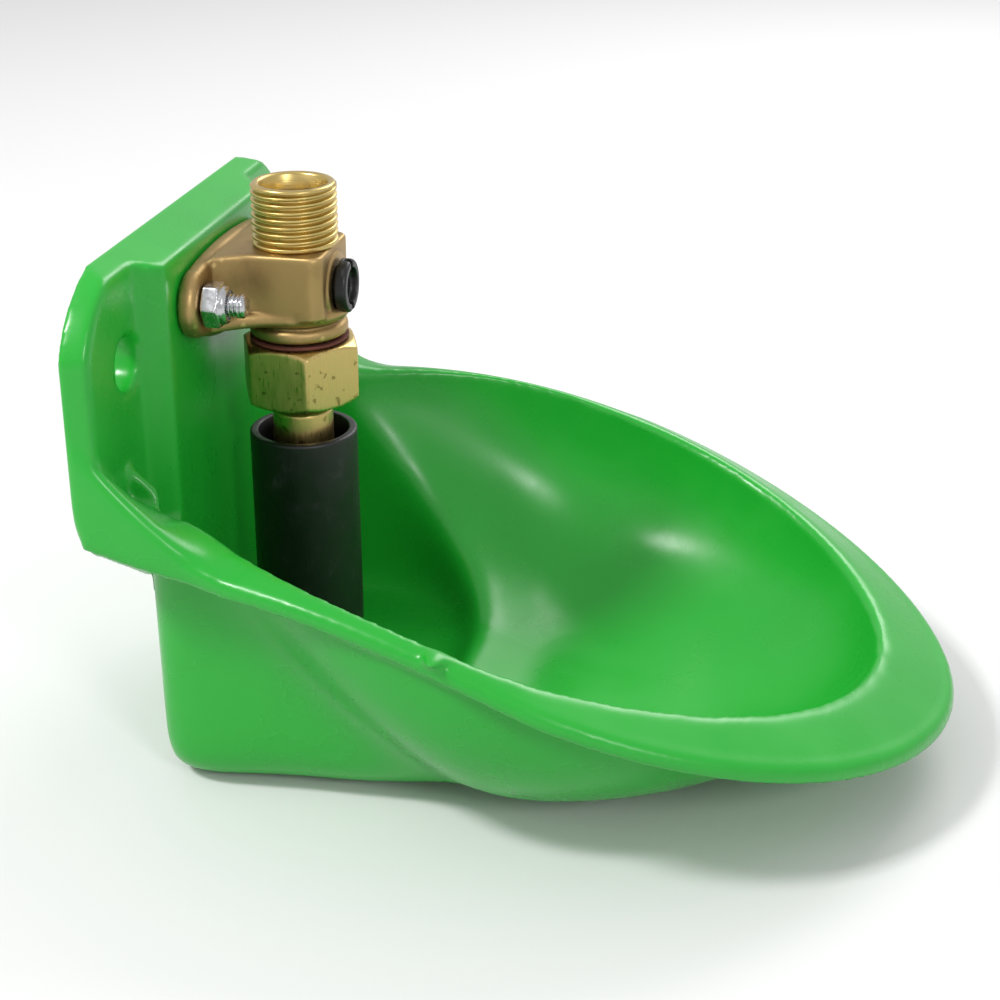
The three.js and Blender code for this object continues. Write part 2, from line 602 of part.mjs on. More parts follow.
// ---- two fixing bolts with lock nuts -------------------------------------------------------------
const panelBackY = panelFrontY + wall;
const nutBackY = flangeFrontY - gap;
const nutFrontY = nutBackY - 5.8;
const threadEndY = nutFrontY - 4;
for (const [name, sign] of [['left', -1], ['right', 1]]) {
  const x = sign * boltX;
  const washer = turnedAlongY([[3.2, panelBackY + gap], [6, panelBackY + gap], [6, panelBackY + 1.5],
    [3.2, panelBackY + 1.5], [3.2, panelBackY + gap]], x, boltZ, 28);
  add(`washer_${name}`, washer, finish.zinc);

  const headFrom = panelBackY + 1.5 + gap;
  const head = hexRod(10, headFrom, headFrom + 4, x, boltZ).intersect(turnedAlongY([[0, headFrom],
    [5.9, headFrom], [5.9, headFrom + 3.4], [4.8, headFrom + 4], [0, headFrom + 4]], x, boltZ));
  const shank = turnedAlongY([[0, threadEndY], [2.3, threadEndY], [2.9, threadEndY + 0.7],
    [2.9, headFrom + 0.5], [0, headFrom + 0.5]], x, boltZ, 24);
  add(`bolt_${name}`, join(head, shank), finish.zinc);

  const hex = hexRod(10, nutFrontY + 1.7, nutBackY, x, boltZ).intersect(turnedAlongY([[0, nutFrontY + 1.7],
    [5.2, nutFrontY + 1.7], [5.9, nutFrontY + 2.2], [5.9, nutBackY - 0.4], [5.1, nutBackY],
    [0, nutBackY]], x, boltZ));
  const collar = turnedAlongY([[0, nutFrontY], [3.8, nutFrontY], [4.5, nutFrontY + 0.7],
    [4.5, nutFrontY + 2.6], [0, nutFrontY + 2.6]], x, boltZ, 28);
  const hollow = turnedAlongY([[0, nutFrontY - 1], [3.4, nutFrontY - 1], [3.4, nutFrontY + 0.4],
    [4, nutFrontY + 0.4], [4, nutFrontY + 2.3], [3.2, nutFrontY + 2.3], [3.2, nutBackY + 1],
    [0, nutBackY + 1]], x, boltZ, 28);
  add(`lock_nut_${name}`, join(hex, collar).subtract(hollow), finish.zinc);

  const insert = turnedAlongY([[3.15, nutFrontY + 0.6], [3.8, nutFrontY + 0.6], [3.8, nutFrontY + 2.1],
    [3.15, nutFrontY + 2.1], [3.15, nutFrontY + 0.6]], x, boltZ, 24);
  add(`lock_insert_${name}`, insert, finish.nylon);
}

export default part;
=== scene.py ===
# Wall-mounted animal drinking bowl with a brass tube valve: its looks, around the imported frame.
# Metres in the scene, millimetres in the dictionaries.  The wall is at +Y, the nose points to -Y.
import math

import bmesh
import bpy
import numpy as np
from mathutils import Matrix, Vector


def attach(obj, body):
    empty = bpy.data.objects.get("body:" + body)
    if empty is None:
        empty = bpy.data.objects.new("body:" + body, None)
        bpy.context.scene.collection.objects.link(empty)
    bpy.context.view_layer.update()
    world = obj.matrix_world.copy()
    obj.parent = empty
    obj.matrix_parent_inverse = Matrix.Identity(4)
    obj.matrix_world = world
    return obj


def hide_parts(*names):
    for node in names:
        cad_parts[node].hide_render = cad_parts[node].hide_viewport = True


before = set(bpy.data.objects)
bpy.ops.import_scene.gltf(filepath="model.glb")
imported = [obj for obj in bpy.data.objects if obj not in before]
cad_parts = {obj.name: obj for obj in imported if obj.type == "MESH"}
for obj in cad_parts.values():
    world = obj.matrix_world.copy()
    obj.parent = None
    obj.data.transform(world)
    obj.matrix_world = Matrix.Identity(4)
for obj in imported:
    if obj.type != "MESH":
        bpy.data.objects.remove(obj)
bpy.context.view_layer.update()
print("frame loaded:", len(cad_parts), "nodes")

mm = 0.001


def colour(text):  # sRGB hex to linear
    parts = [int(text[i:i + 2], 16) / 255 for i in (1, 3, 5)]
    return [c / 12.92 if c <= 0.04045 else ((c + 0.055) / 1.055) ** 2.4 for c in parts] + [1.0]


def addNode(tree, kind, links=None, **settings):
    node = tree.nodes.new(kind)
    for name, value in settings.items():
        setattr(node, name, value)
    for socket, value in (links or {}).items():
        if isinstance(value, bpy.types.NodeSocket):
            tree.links.new(value, node.inputs[socket])
        else:
            node.inputs[socket].default_value = value
    return node


def newMesh(name, points, faces):  # points in millimetres
    mesh = bpy.data.meshes.new(name)
    mesh.from_pydata([tuple(c * mm for c in p) for p in points], [], faces)
    shell = bmesh.new()
    shell.from_mesh(mesh)
    bmesh.ops.remove_doubles(shell, verts=shell.verts, dist=1e-7)
    bmesh.ops.recalc_face_normals(shell, faces=shell.faces)
    shell.to_mesh(mesh)
    shell.free()
    obj = bpy.data.objects.new(name, mesh)
    bpy.context.scene.collection.objects.link(obj)
    return obj


def skin(name, rings):  # stacked rings with equal counts, both ends closed
    count = len(rings[0])
    faces = [list(range(count))[::-1], [(len(rings) - 1) * count + i for i in range(count)]]
    for r in range(len(rings) - 1):
        for i in range(count):
            j = (i + 1) % count
            faces.append([r * count + i, r * count + j, (r + 1) * count + j, (r + 1) * count + i])
    return newMesh(name, [p for ring in rings for p in ring], faces)


def lathe(name, profile, centre, along="Z", sides=96):  # closed profile of radius and level
    points, rings = [], []
    for radius, level in profile:
        start = len(points)
        steps = 1 if radius < 1e-6 else sides
        for i in range(steps):
            turn = 2 * math.pi * i / sides
            a, b = radius * math.cos(turn), radius * math.sin(turn)
            points.append((centre[0] + a, centre[1] + b, level) if along == "Z"
                          else (centre[0] + a, level, centre[1] + b))
        rings.append((start, steps))
    faces = []
    for (a, countA), (b, countB) in zip(rings, rings[1:] + rings[:1]):
        for i in range(sides):
            j = (i + 1) % sides
            corners = [a + i % countA, a + j % countA, b + j % countB, b + i % countB]
            corners = list(dict.fromkeys(corners))
            if len(corners) > 2:
                faces.append(corners)
    return newMesh(name, points, faces)


def rodAlongY(name, radius, low, high, x, z, sides=64):
    return lathe(name, [(0, low), (radius, low), (radius, high), (0, high)], (x, z), "Y", sides)


def onCircle(radius, angle, across=0, along=0):
    turn = math.radians(angle)
    return across + radius * math.cos(turn), along + radius * math.sin(turn)


def rounded(points, radius, steps=4, closed=True):  # replaces each corner by a short arc
    out = []
    for i, here in enumerate(points):
        before, after = points[i - 1], points[(i + 1) % len(points)]
        if not closed and i in (0, len(points) - 1):
            out.append(here)
            continue
        here = Vector(here)
        back, ahead = Vector(before) - here, Vector(after) - here
        cut = min(radius, back.length * 0.45, ahead.length * 0.45)
        start, end = here + back.normalized() * cut, here + ahead.normalized() * cut
        for k in range(steps + 1):
            t = k / steps
            out.append(tuple(start * (1 - t) ** 2 + here * 2 * t * (1 - t) + end * t * t))
    return out


def evaluated(obj):  # bakes the modifiers into a plain mesh
    bpy.context.view_layer.update()
    graph = bpy.context.evaluated_depsgraph_get()
    mesh = bpy.data.meshes.new_from_object(obj.evaluated_get(graph), depsgraph=graph)
    obj.modifiers.clear()
    obj.data = mesh
    return obj


def combine(base, joined=(), cut=(), within=()):  # joins, then cuts, then keeps what lies within
    kinds = (("UNION", joined), ("DIFFERENCE", cut), ("INTERSECT", within))
    work = [(kind, other) for kind, others in kinds for other in others]
    for action, other in work:
        modifier = base.modifiers.new(action, "BOOLEAN")
        modifier.operation, modifier.object, modifier.solver = action, other, "MANIFOLD"
    evaluated(base)
    for action, other in work:
        bpy.data.objects.remove(other)
    return base


def relax(obj, passes, weight=lambda p: np.full(len(p), 0.5)):  # moves points to their neighbours' mean
    mesh = obj.data
    count = len(mesh.vertices)
    points = np.empty(count * 3)
    mesh.vertices.foreach_get("co", points)
    points = points.reshape(-1, 3)
    ends = np.empty(len(mesh.edges) * 2, np.int64)
    mesh.edges.foreach_get("vertices", ends)
    a, b = ends.reshape(-1, 2).T
    around = np.bincount(a, minlength=count) + np.bincount(b, minlength=count)
    share = weight(points / mm)[:, None]
    for _ in range(passes):
        total = np.stack([np.bincount(a, points[b, k], count) + np.bincount(b, points[a, k], count)
                          for k in range(3)], 1)
        points += share * (total / around[:, None] - points)
    mesh.vertices.foreach_set("co", points.astype(np.float32).ravel())
    mesh.update()
    return obj


# One even skin with small rounded edges, as a mould or a casting has.
def soften(obj, voxel, passes, *weight):
    modifier = obj.modifiers.new("even", "REMESH")
    modifier.mode, modifier.voxel_size, modifier.adaptivity = "VOXEL", voxel * mm, 0
    return relax(evaluated(obj), passes, *weight)


def newTree(name, inputs):
    tree = bpy.data.node_groups.new(name, "GeometryNodeTree")
    tree.interface.new_socket("Geometry", in_out="INPUT", socket_type="NodeSocketGeometry")
    for label, kind in inputs.items():
        tree.interface.new_socket(label, in_out="INPUT", socket_type="NodeSocket" + kind)
    tree.interface.new_socket("Geometry", in_out="OUTPUT", socket_type="NodeSocketGeometry")
    return tree, addNode(tree, "NodeGroupInput").outputs


def endTree(tree, geometry, material):  # every tree ends in real geometry with its material
    real = addNode(tree, "GeometryNodeRealizeInstances", {0: geometry}).outputs[0]
    done = addNode(tree, "GeometryNodeSetMaterial", {"Geometry": real, "Material": material})
    addNode(tree, "NodeGroupOutput", {0: done.outputs[0]})


def runTree(obj, tree, values):
    modifier = obj.modifiers.new(tree.name, "NODES")
    modifier.node_group = tree
    for item in tree.interface.items_tree:
        if item.in_out == "INPUT" and item.name in values:
            modifier[item.identifier] = values[item.name]
    return evaluated(obj)


def place(obj, body, slot, material, *nodes, creaseAngle=None):
    obj.data.materials.clear()
    obj.data.materials.append(material)
    if creaseAngle is None:
        obj.data.shade_smooth()
    else:
        obj.data.set_sharp_from_angle(angle=math.radians(creaseAngle))
    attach(obj, body)
    if nodes:
        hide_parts(*nodes)
    print("made", obj.name, len(obj.data.polygons), "faces")
    return obj


def newMaterial(name, **surface):
    material = bpy.data.materials.new(name)
    material.use_nodes = True
    tree = material.node_tree
    shader = tree.nodes["Principled BSDF"]
    for socket, value in surface.items():
        shader.inputs[socket.replace("_", " ")].default_value = value
    return material, tree, shader, addNode(tree, "ShaderNodeTexCoord").outputs["Object"]


def finishWith(tree, shader, paint, rough, relief, strength, depth):  # what every finish ends in
    bump = addNode(tree, "ShaderNodeBump", {"Height": relief.outputs[0], "Strength": strength,
                                            "Distance": depth * mm})
    for socket, source in (("Base Color", paint.outputs[2]), ("Roughness", rough.outputs[0]),
                           ("Normal", bump.outputs[0])):
        tree.links.new(source, shader.inputs[socket])


# Injection-moulded polypropylene: a soft satin skin, faintly uneven from cooling, with
# fine handling scratches that only show in the roughness.
def mouldedPolypropylene():
    look = {"green": "#20A630", "deep": "#159226", "cloudSize": 70, "grainSize": 0.7,
            "scratchWidth": 0.5, "roughness": 0.27, "rubbed": 0.40, "bump": 0.05}
    material, tree, shader, where = newMaterial("mouldedPolypropylene", IOR=1.49)
    cloud = addNode(tree, "ShaderNodeTexNoise", {"Vector": where, "Scale": 1 / (look["cloudSize"] * mm),
                                                 "Detail": 3.0, "Roughness": 0.55})
    blend = addNode(tree, "ShaderNodeMix", {0: cloud.outputs[0], 6: colour(look["deep"]),
                                            7: colour(look["green"])}, data_type="RGBA")
    stretched = addNode(tree, "ShaderNodeMapping", {"Vector": where, "Rotation": (0.5, 0.3, 0.6),
                                                    "Scale": (1, 0.06, 1)})
    scratch = addNode(tree, "ShaderNodeTexNoise", {"Vector": stretched.outputs[0], "Detail": 2.0,
                                                   "Scale": 1 / (look["scratchWidth"] * mm)})
    fine = addNode(tree, "ShaderNodeMapRange", {0: scratch.outputs[0], 1: 0.60, 2: 0.75, 3: 0.0, 4: 0.5})
    patch = addNode(tree, "ShaderNodeTexNoise", {"Vector": where, "Scale": 1 / (18 * mm), "Detail": 4.0})
    worn = addNode(tree, "ShaderNodeMapRange", {0: patch.outputs[0], 1: 0.45, 2: 0.75})
    both = addNode(tree, "ShaderNodeMath", {0: fine.outputs[0], 1: worn.outputs[0],
                                            2: worn.outputs[0]}, operation="MULTIPLY_ADD")
    rough = addNode(tree, "ShaderNodeMapRange", {0: both.outputs[0], 3: look["roughness"],
                                                 4: look["rubbed"]})
    grain = addNode(tree, "ShaderNodeTexNoise", {"Vector": where, "Scale": 1 / (look["grainSize"] * mm),
                                                 "Detail": 2.0})
    finishWith(tree, shader, blend, rough, grain, look["bump"], 0.1)
    return material


# Brass as cast and tumbled: a fine sandy grain, brown tarnish in the hollows, edges rubbed bright.
def tumbledCastBrass():
    look = {"bright": "#CDB079", "body": "#A4895A", "dark": "#6F5D40", "grainSize": 0.45,
            "stainSize": 12, "roughness": (0.38, 0.54)}
    material, tree, shader, where = newMaterial("tumbledCastBrass", Metallic=1.0)
    geometry = addNode(tree, "ShaderNodeNewGeometry")
    edge = addNode(tree, "ShaderNodeMapRange", {0: geometry.outputs["Pointiness"], 1: 0.50, 2: 0.56})
    hollow = addNode(tree, "ShaderNodeMapRange", {0: geometry.outputs["Pointiness"], 1: 0.50, 2: 0.44})
    stain = addNode(tree, "ShaderNodeTexNoise", {"Vector": where, "Scale": 1 / (look["stainSize"] * mm),
                                                 "Detail": 6.0, "Roughness": 0.6})
    patch = addNode(tree, "ShaderNodeMapRange", {0: stain.outputs[0], 1: 0.50, 2: 0.80, 3: 0.0, 4: 0.7})
    shade = addNode(tree, "ShaderNodeMath", {0: patch.outputs[0], 1: hollow.outputs[0]},
                    operation="MAXIMUM")
    base = addNode(tree, "ShaderNodeMix", {0: shade.outputs[0], 6: colour(look["body"]),
                                           7: colour(look["dark"])}, data_type="RGBA")
    lit = addNode(tree, "ShaderNodeMix", {0: edge.outputs[0], 6: base.outputs[2],
                                          7: colour(look["bright"])}, data_type="RGBA")
    rough = addNode(tree, "ShaderNodeMapRange", {0: stain.outputs[0], 1: 0.3, 2: 0.7,
                                                 3: look["roughness"][0], 4: look["roughness"][1]})
    grain = addNode(tree, "ShaderNodeTexNoise", {"Vector": where, "Scale": 1 / (look["grainSize"] * mm),
                                                 "Detail": 4.0, "Roughness": 0.7})
    finishWith(tree, shader, lit, rough, grain, 0.35, 0.12)
    return material


# Brass cut on a lathe or mill: straight tool streaks along the piece and dark tarnish spots.
def machinedBrass(name, streakScale, spots):
    look = {"bright": "#D6C081", "body": "#BBA15E", "spot": "#7C6439", "spotSize": 2.1,
            "roughness": (0.26, 0.42)}
    material, tree, shader, where = newMaterial(name, Metallic=1.0)
    along = addNode(tree, "ShaderNodeMapping", {"Vector": where, "Scale": streakScale})
    streak = addNode(tree, "ShaderNodeTexNoise", {"Vector": along.outputs[0], "Scale": 1 / (0.35 * mm),
                                                  "Detail": 3.0})
    base = addNode(tree, "ShaderNodeMix", {0: streak.outputs[0], 6: colour(look["body"]),
                                           7: colour(look["bright"])}, data_type="RGBA")
    patch = addNode(tree, "ShaderNodeTexNoise", {"Vector": where, "Scale": 1 / (look["spotSize"] * mm),
                                                 "Detail": 2.0, "Roughness": 0.4})
    spot = addNode(tree, "ShaderNodeMapRange", {0: patch.outputs[0], 1: 0.68 - spots, 2: 0.74 - spots,
                                                3: 0.0, 4: 0.7})
    final = addNode(tree, "ShaderNodeMix", {0: spot.outputs[0], 6: base.outputs[2],
                                            7: colour(look["spot"])}, data_type="RGBA")
    rough = addNode(tree, "ShaderNodeMapRange", {0: streak.outputs[0], 1: 0.3, 2: 0.7,
                                                 3: look["roughness"][0], 4: look["roughness"][1]})
    finishWith(tree, shader, final, rough, streak, 0.25, 0.05)
    return material


# Black plastic, extruded polyethylene or moulded nylon: near black, with faint lines along the way
# it was drawn or filled, and grey scuffs from use.
def scuffedBlackPlastic(name, base, scuff, lineScale, scuffed):
    material, tree, shader, where = newMaterial(name, IOR=1.5)
    patch = addNode(tree, "ShaderNodeTexNoise", {"Vector": where, "Scale": 1 / (6 * mm), "Detail": 8.0,
                                                 "Roughness": 0.72})
    worn = addNode(tree, "ShaderNodeMapRange", {0: patch.outputs[0], 1: 0.56, 2: 0.74, 3: 0.0, 4: scuffed})
    mixed = addNode(tree, "ShaderNodeMix", {0: worn.outputs[0], 6: colour(base), 7: colour(scuff)},
                    data_type="RGBA")
    along = addNode(tree, "ShaderNodeMapping", {"Vector": where, "Scale": lineScale})
    lines = addNode(tree, "ShaderNodeTexNoise", {"Vector": along.outputs[0], "Scale": 1 / (0.5 * mm),
                                                 "Detail": 3.0})
    rough = addNode(tree, "ShaderNodeMapRange", {0: patch.outputs[0], 1: 0.3, 2: 0.7, 3: 0.30, 4: 0.52})
    finishWith(tree, shader, mixed, rough, lines, 0.22, 0.06)
    return material


# Plated or drawn steel: pale, slightly clouded by the bath, with a fine grain.
def platedSteel(name, light, dark, roughness):
    material, tree, shader, where = newMaterial(name, Metallic=1.0)
    cloud = addNode(tree, "ShaderNodeTexNoise", {"Vector": where, "Scale": 1 / (1.6 * mm), "Detail": 5.0})
    mixed = addNode(tree, "ShaderNodeMix", {0: cloud.outputs[0], 6: colour(dark), 7: colour(light)},
                    data_type="RGBA")
    rough = addNode(tree, "ShaderNodeMapRange", {0: cloud.outputs[0], 1: 0.3, 2: 0.7, 3: roughness[0],
                                                 4: roughness[1]})
    grain = addNode(tree, "ShaderNodeTexNoise", {"Vector": where, "Scale": 1 / (0.25 * mm), "Detail": 2.0})
    finishWith(tree, shader, mixed, rough, grain, 0.15, 0.03)
    return material


# Dull non-metals: moulded rubber, pressed fibre and nylon, each with its own grain.
def dullMoulding(name, light, dark, grainSize, roughness, bumpStrength):
    material, tree, shader, where = newMaterial(name, IOR=1.5)
    grain = addNode(tree, "ShaderNodeTexNoise", {"Vector": where, "Scale": 1 / (grainSize * mm),
                                                 "Detail": 5.0, "Roughness": 0.65})
    mixed = addNode(tree, "ShaderNodeMix", {0: grain.outputs[0], 6: colour(dark), 7: colour(light)},
                    data_type="RGBA")
    rough = addNode(tree, "ShaderNodeMapRange", {0: grain.outputs[0], 3: roughness - 0.08,
                                                 4: roughness + 0.08})
    finishWith(tree, shader, mixed, rough, grain, bumpStrength, 0.1)
    return material


greenPlastic = mouldedPolypropylene()
castBrass = tumbledCastBrass()
milledBrass = machinedBrass("milledBrass", (1, 1, 0.08), 0.04)
turnedBrass = machinedBrass("turnedBrass", (0.06, 0.06, 1), -0.04)
blackTube = scuffedBlackPlastic("extrudedPolyethylene", "#0D0E0E", "#3A3C3B", (1, 1, 0.04), 0.5)
blackNylon = scuffedBlackPlastic("mouldedBlackNylon", "#0A0B0B", "#262728", (1, 1, 1), 0.25)
zincPlate = platedSteel("brightZincPlate", "#DADBDE", "#A9A8AC", (0.16, 0.34))
springSteel = platedSteel("drawnSpringSteel", "#B9BBBF", "#8C8E92", (0.18, 0.32))
sealRubber = dullMoulding("mouldedNitrileRubber", "#2C2C2C", "#161616", 0.8, 0.72, 0.3)
redFibre = dullMoulding("pressedRedFibre", "#6B3526", "#47221A", 0.6, 0.78, 0.6)
whiteNylon = dullMoulding("machinedWhiteNylon", "#EEF0F2", "#D2D5DA", 0.9, 0.42, 0.1)
print("materials ready")


# moulded bowl
bowlShape = {
    "wall": 3, "wallPlaneY": 100, "noseY": -100, "halfWidth": 87, "widestY": -10, "lipBackHalf": 72.5,
    "lipHeight": 52.5, "lipSlope": 0.34, "lipFlattening": 0.0025, "lipCamber": 3.2, "lipSkirt": 4.6,
    "finStartY": 63, "finRise": 29, "finBend": 1.6, "skirtClimb": 0.3,
    "panelFrontY": 87.2, "wingFrontY": 93, "panelHalf": 34.5, "foldWidth": 8, "bandFall": 0.34,
    "plateHalf": 70, "plateTop": 130.2, "topHalf": 51, "shoulderZ": 114, "lowerZ": 80,
    "plateBottom": 45, "bottomHalf": 33, "cornerZ": 61.5, "cornerHalf": 58,
    "holeX": 47, "holeZ": 106, "holeRadius": 6.25, "boltX": 22.5, "boltZ": 113.2, "boltHole": 3.3,
    "boxHalf": 58.5, "boxFrontY": 16, "boxEdge": 10,
    "bellyY": 2, "bellyHalf": 82.5, "bellyFront": 92, "bellyBack": 99, "bellyDepth": 62, "bellyZ": 61.2,
    "bellyDrawIn": 1.22, "bellyFullness": 3, "bellyNose": 1.85, "floorShare": 0.34,
    "blendVoxel": 2.0, "outerBlend": 100, "innerBlend": 26,
    "voxel": 0.85, "edgePasses": 7, "mouthPasses": 30, "mostTriangles": 188000,
    "gussetX": 51.5, "gussetHalf": 1.4, "gussetFront": 79, "gussetFoot": 65, "gussetTop": 84,
    "wellFront": 27, "wellRadius": 38, "boxCorner": 46, "boxReach": -8, "sleeve": 9.2,
}


def edgeHeight(y):  # height of the lip's outer edge, for one place or for many
    s = bowlShape
    return s["lipHeight"] + s["lipSlope"] * y - s["lipFlattening"] * np.maximum(0, y - 5) ** 2


def slab(name, outline, low, high):  # outline in Y and Z, drawn out along X
    return skin(name, [[(x, y, z) for y, z in outline] for x in (low, high)])


def boxBlock(name, low, high):
    (x0, y0, z0), (x1, y1, z1) = low, high
    return skin(name, [[(x0, y0, z), (x1, y0, z), (x1, y1, z), (x0, y1, z)] for z in (z0, z1)])


def belowLip(lowered):
    reach = 120
    steps = 60
    top = [reach - 2 * reach * i / steps for i in range(steps + 1)]
    outline = [(-reach, -60), (reach, -60)] + [(y, edgeHeight(y) - lowered) for y in top]
    return slab("belowLip", outline, -reach, reach)


def arc(centreX, centreY, radius, start, steps=10):
    return [onCircle(radius, start + 90 * i / steps, centreX, centreY) for i in range(steps + 1)]


def deepWell(inset, backY, front, wide, floor, top):
    s = bowlShape
    half = s["boxHalf"] - inset
    small = 9 - inset
    outline = (arc(half - small, backY - small, small, 0) + arc(small - half, backY - small, small, 90)
               + arc(wide - half, front + wide, wide, 180) + arc(half - wide, front + wide, wide, 270))
    radius = s["boxEdge"] - inset
    length = (backY - s["boxFrontY"]) / 2

    def shrunk(amount, z):
        return [(x * (half - amount) / half, backY + (y - backY) * (length - amount / 2) / length, z)
                for x, y in outline]
    steps = 8
    turns = [math.pi / 2 * i / steps for i in range(steps + 1)]
    rings = [shrunk(1.6 + radius * (1 - math.sin(t)), floor + radius * (1 - math.cos(t))) for t in turns]
    return skin("deepWell", rings + [shrunk(-0.6, top)])


def roundDish(inset, floor, top):
    s = bowlShape
    around = 180

    def power(value, exponent):
        return math.copysign(abs(value) ** exponent, value)

    def ring(scale, z):
        points = []
        for i in range(around):
            turn = 2 * math.pi * i / around
            forward = math.sin(turn) < 0
            drawnIn = s["bellyDrawIn"] * max(0, s["bellyZ"] - z)
            length = (s["bellyFront"] if forward else s["bellyBack"] - drawnIn) - inset
            bend = 2 / s["bellyNose"] if forward else 1
            points.append(((s["bellyHalf"] - inset) * scale * power(math.cos(turn), bend),
                           s["bellyY"] + length * scale * power(math.sin(turn), bend), z))
        return points
    depth = s["bellyDepth"] - inset
    full = s["bellyFullness"]
    rings = []
    steps = 36
    for i in range(steps + 1):
        z = floor + (s["bellyZ"] - floor) * (i / steps) ** 1.6
        fall = min(1, (s["bellyZ"] - z) / depth)
        rings.append(ring(max(s["floorShare"], (1 - fall ** full) ** (1 / full)), z))
    return skin("roundDish", rings + [ring(1, top)])


# The well and the dish as one body, run into one another with the soft corners of the mould.
def tubBody(inset, backY, front, wide, floor, top, blend):
    s = bowlShape
    rear = boxBlock("rear", (-130, backY, -20), (130, 160, top + 20))
    dish = combine(roundDish(inset, floor, top), cut=[rear])

    def share(p):  # less towards the back, where the corners of the well are tighter
        return 0.12 + 0.38 * np.clip((76 - p[:, 1]) / 20, 0, 1)
    tub = soften(combine(deepWell(inset, backY, front, wide, floor, top), [dish]), s["blendVoxel"], blend,
                 share)
    tub.modifiers.new("finer", "SUBSURF").levels = 1
    return evaluated(tub)


def bowlLip():
    s = bowlShape
    tuck, thick = 6, 3
    back = s["wallPlaneY"] - 1.6

    def mouthHalf(y):
        spread = 1 - ((y - s["bellyY"]) / (s["bellyBack"] - s["wall"])) ** 2
        return max(s["boxHalf"] - s["wall"], (s["bellyHalf"] - s["wall"]) * math.sqrt(max(0, spread)))

    def side(sign, y):
        drawnIn = (s["halfWidth"] - s["lipBackHalf"]) * ((y - s["widestY"]) / 75) ** 1.35
        climb = (max(0, y - s["finStartY"]) / (s["wallPlaneY"] - 3 - s["finStartY"])) ** s["finBend"]
        inner = (sign * (mouthHalf(y) - tuck), y, edgeHeight(y) + s["lipCamber"] + 1.5)
        outer = (sign * max(s["plateHalf"] + 0.5, s["halfWidth"] - drawnIn), y,
                 edgeHeight(y) + s["finRise"] * climb)
        return inner, outer, (sign, 0), s["finRise"] * climb * (1 - s["skirtClimb"])

    def nose(share):
        turn = math.pi * (1 + share)
        bend = 2 / 1.9
        outerX = s["halfWidth"] * math.copysign(abs(math.cos(turn)) ** bend, math.cos(turn))
        outerY = s["widestY"] - (s["widestY"] - s["noseY"]) * abs(math.sin(turn)) ** bend
        innerY = s["widestY"] + (s["bellyFront"] - 12 - s["wall"] - tuck * 2) * math.sin(turn)
        innerX = (mouthHalf(s["widestY"]) - tuck) * math.cos(turn)
        inner = (innerX, innerY, edgeHeight(innerY) + s["lipCamber"] + 1.5)
        return inner, (outerX, outerY, edgeHeight(outerY)), (math.cos(turn), math.sin(turn)), 0

    sideSteps, noseSteps = 40, 110
    sideY = [back + (s["widestY"] - back) * i / sideSteps for i in range(sideSteps)]
    stations = ([side(-1, y) for y in sideY] + [nose(i / noseSteps) for i in range(noseSteps + 1)]
                + [side(1, y) for y in reversed(sideY)])
    rings = []
    for inner, outer, out, hang in stations:
        def at(inward, fall):
            return (outer[0] - out[0] * inward, outer[1] - out[1] * inward, outer[2] - fall)
        foot = s["lipSkirt"] + hang
        rings.append([inner, at(2.8, -0.6), at(1.5, -0.25), at(0.7, 0.25), at(0.15, 1.1), at(0, 2),
                      at(0.1, foot - 0.5), at(0.8, foot), at(thick - 0.6, foot),
                      at(thick, thick + 0.3), (inner[0], inner[1], inner[2] - 8.5)])
    return skin("bowlLip", rings)


def plateEdge(inset):  # outline of the back plate in X and Z
    s = bowlShape
    half, top, slant = s["plateHalf"] - inset, s["plateTop"] - inset, inset * 0.45

    def curve(a, b, c, steps=8):
        return [tuple(a[k] * (1 - t) ** 2 + b[k] * 2 * t * (1 - t) + c[k] * t * t for k in (0, 1))
                for t in [i / steps for i in range(steps + 1)]]
    right = (curve((s["topHalf"] - slant, top), (half - 5, s["plateTop"] - 5 - inset),
                   (half, s["shoulderZ"] - slant))
             + curve((half, s["lowerZ"]), (half - 0.5, s["lowerZ"] - 13),
                     (s["cornerHalf"] - slant, s["cornerZ"] + inset))
             + [(s["bottomHalf"] - slant, s["plateBottom"] + inset)])
    return right + [(-x, z) for x, z in reversed(right)]


def bandCut(lowered):  # what is cut away above the turned-back top edge
    s = bowlShape
    back, front, top = s["wallPlaneY"] + 1, s["panelFrontY"] - 10, s["plateTop"]
    outline = [(back, top + 0.5 - lowered), (back, top + 30), (front, top + 30),
               (front, top - lowered - s["bandFall"] * (back - 1 - s["panelFrontY"] + 9))]
    return slab("bandCut", outline, -90, 90)


def plateSolid(inset, backY):
    s = bowlShape
    wing = skin("wing", [[(x * squeeze, y, z) for x, z in plateEdge(inset)]
                         for y, squeeze in ((s["wingFrontY"] + inset, 0.985), (backY, 1))])
    low, high = s["plateBottom"] + inset, s["plateTop"] - inset
    steps = 12
    layers = []
    for i in range(steps + 1):  # the panel stands forward of the wings across a soft fold
        t = i / steps
        y = s["panelFrontY"] + inset + (s["wingFrontY"] + 0.5 - s["panelFrontY"]) * t * t * (3 - 2 * t)
        half = s["panelHalf"] - inset + s["foldWidth"] * t
        layers.append([(half, y + t * 0.01, low), (half, y + t * 0.01, high),
                       (-half, y + t * 0.01, high), (-half, y + t * 0.01, low)])
    panel = skin("panel", layers)
    return combine(wing, [panel], [bandCut(inset)])


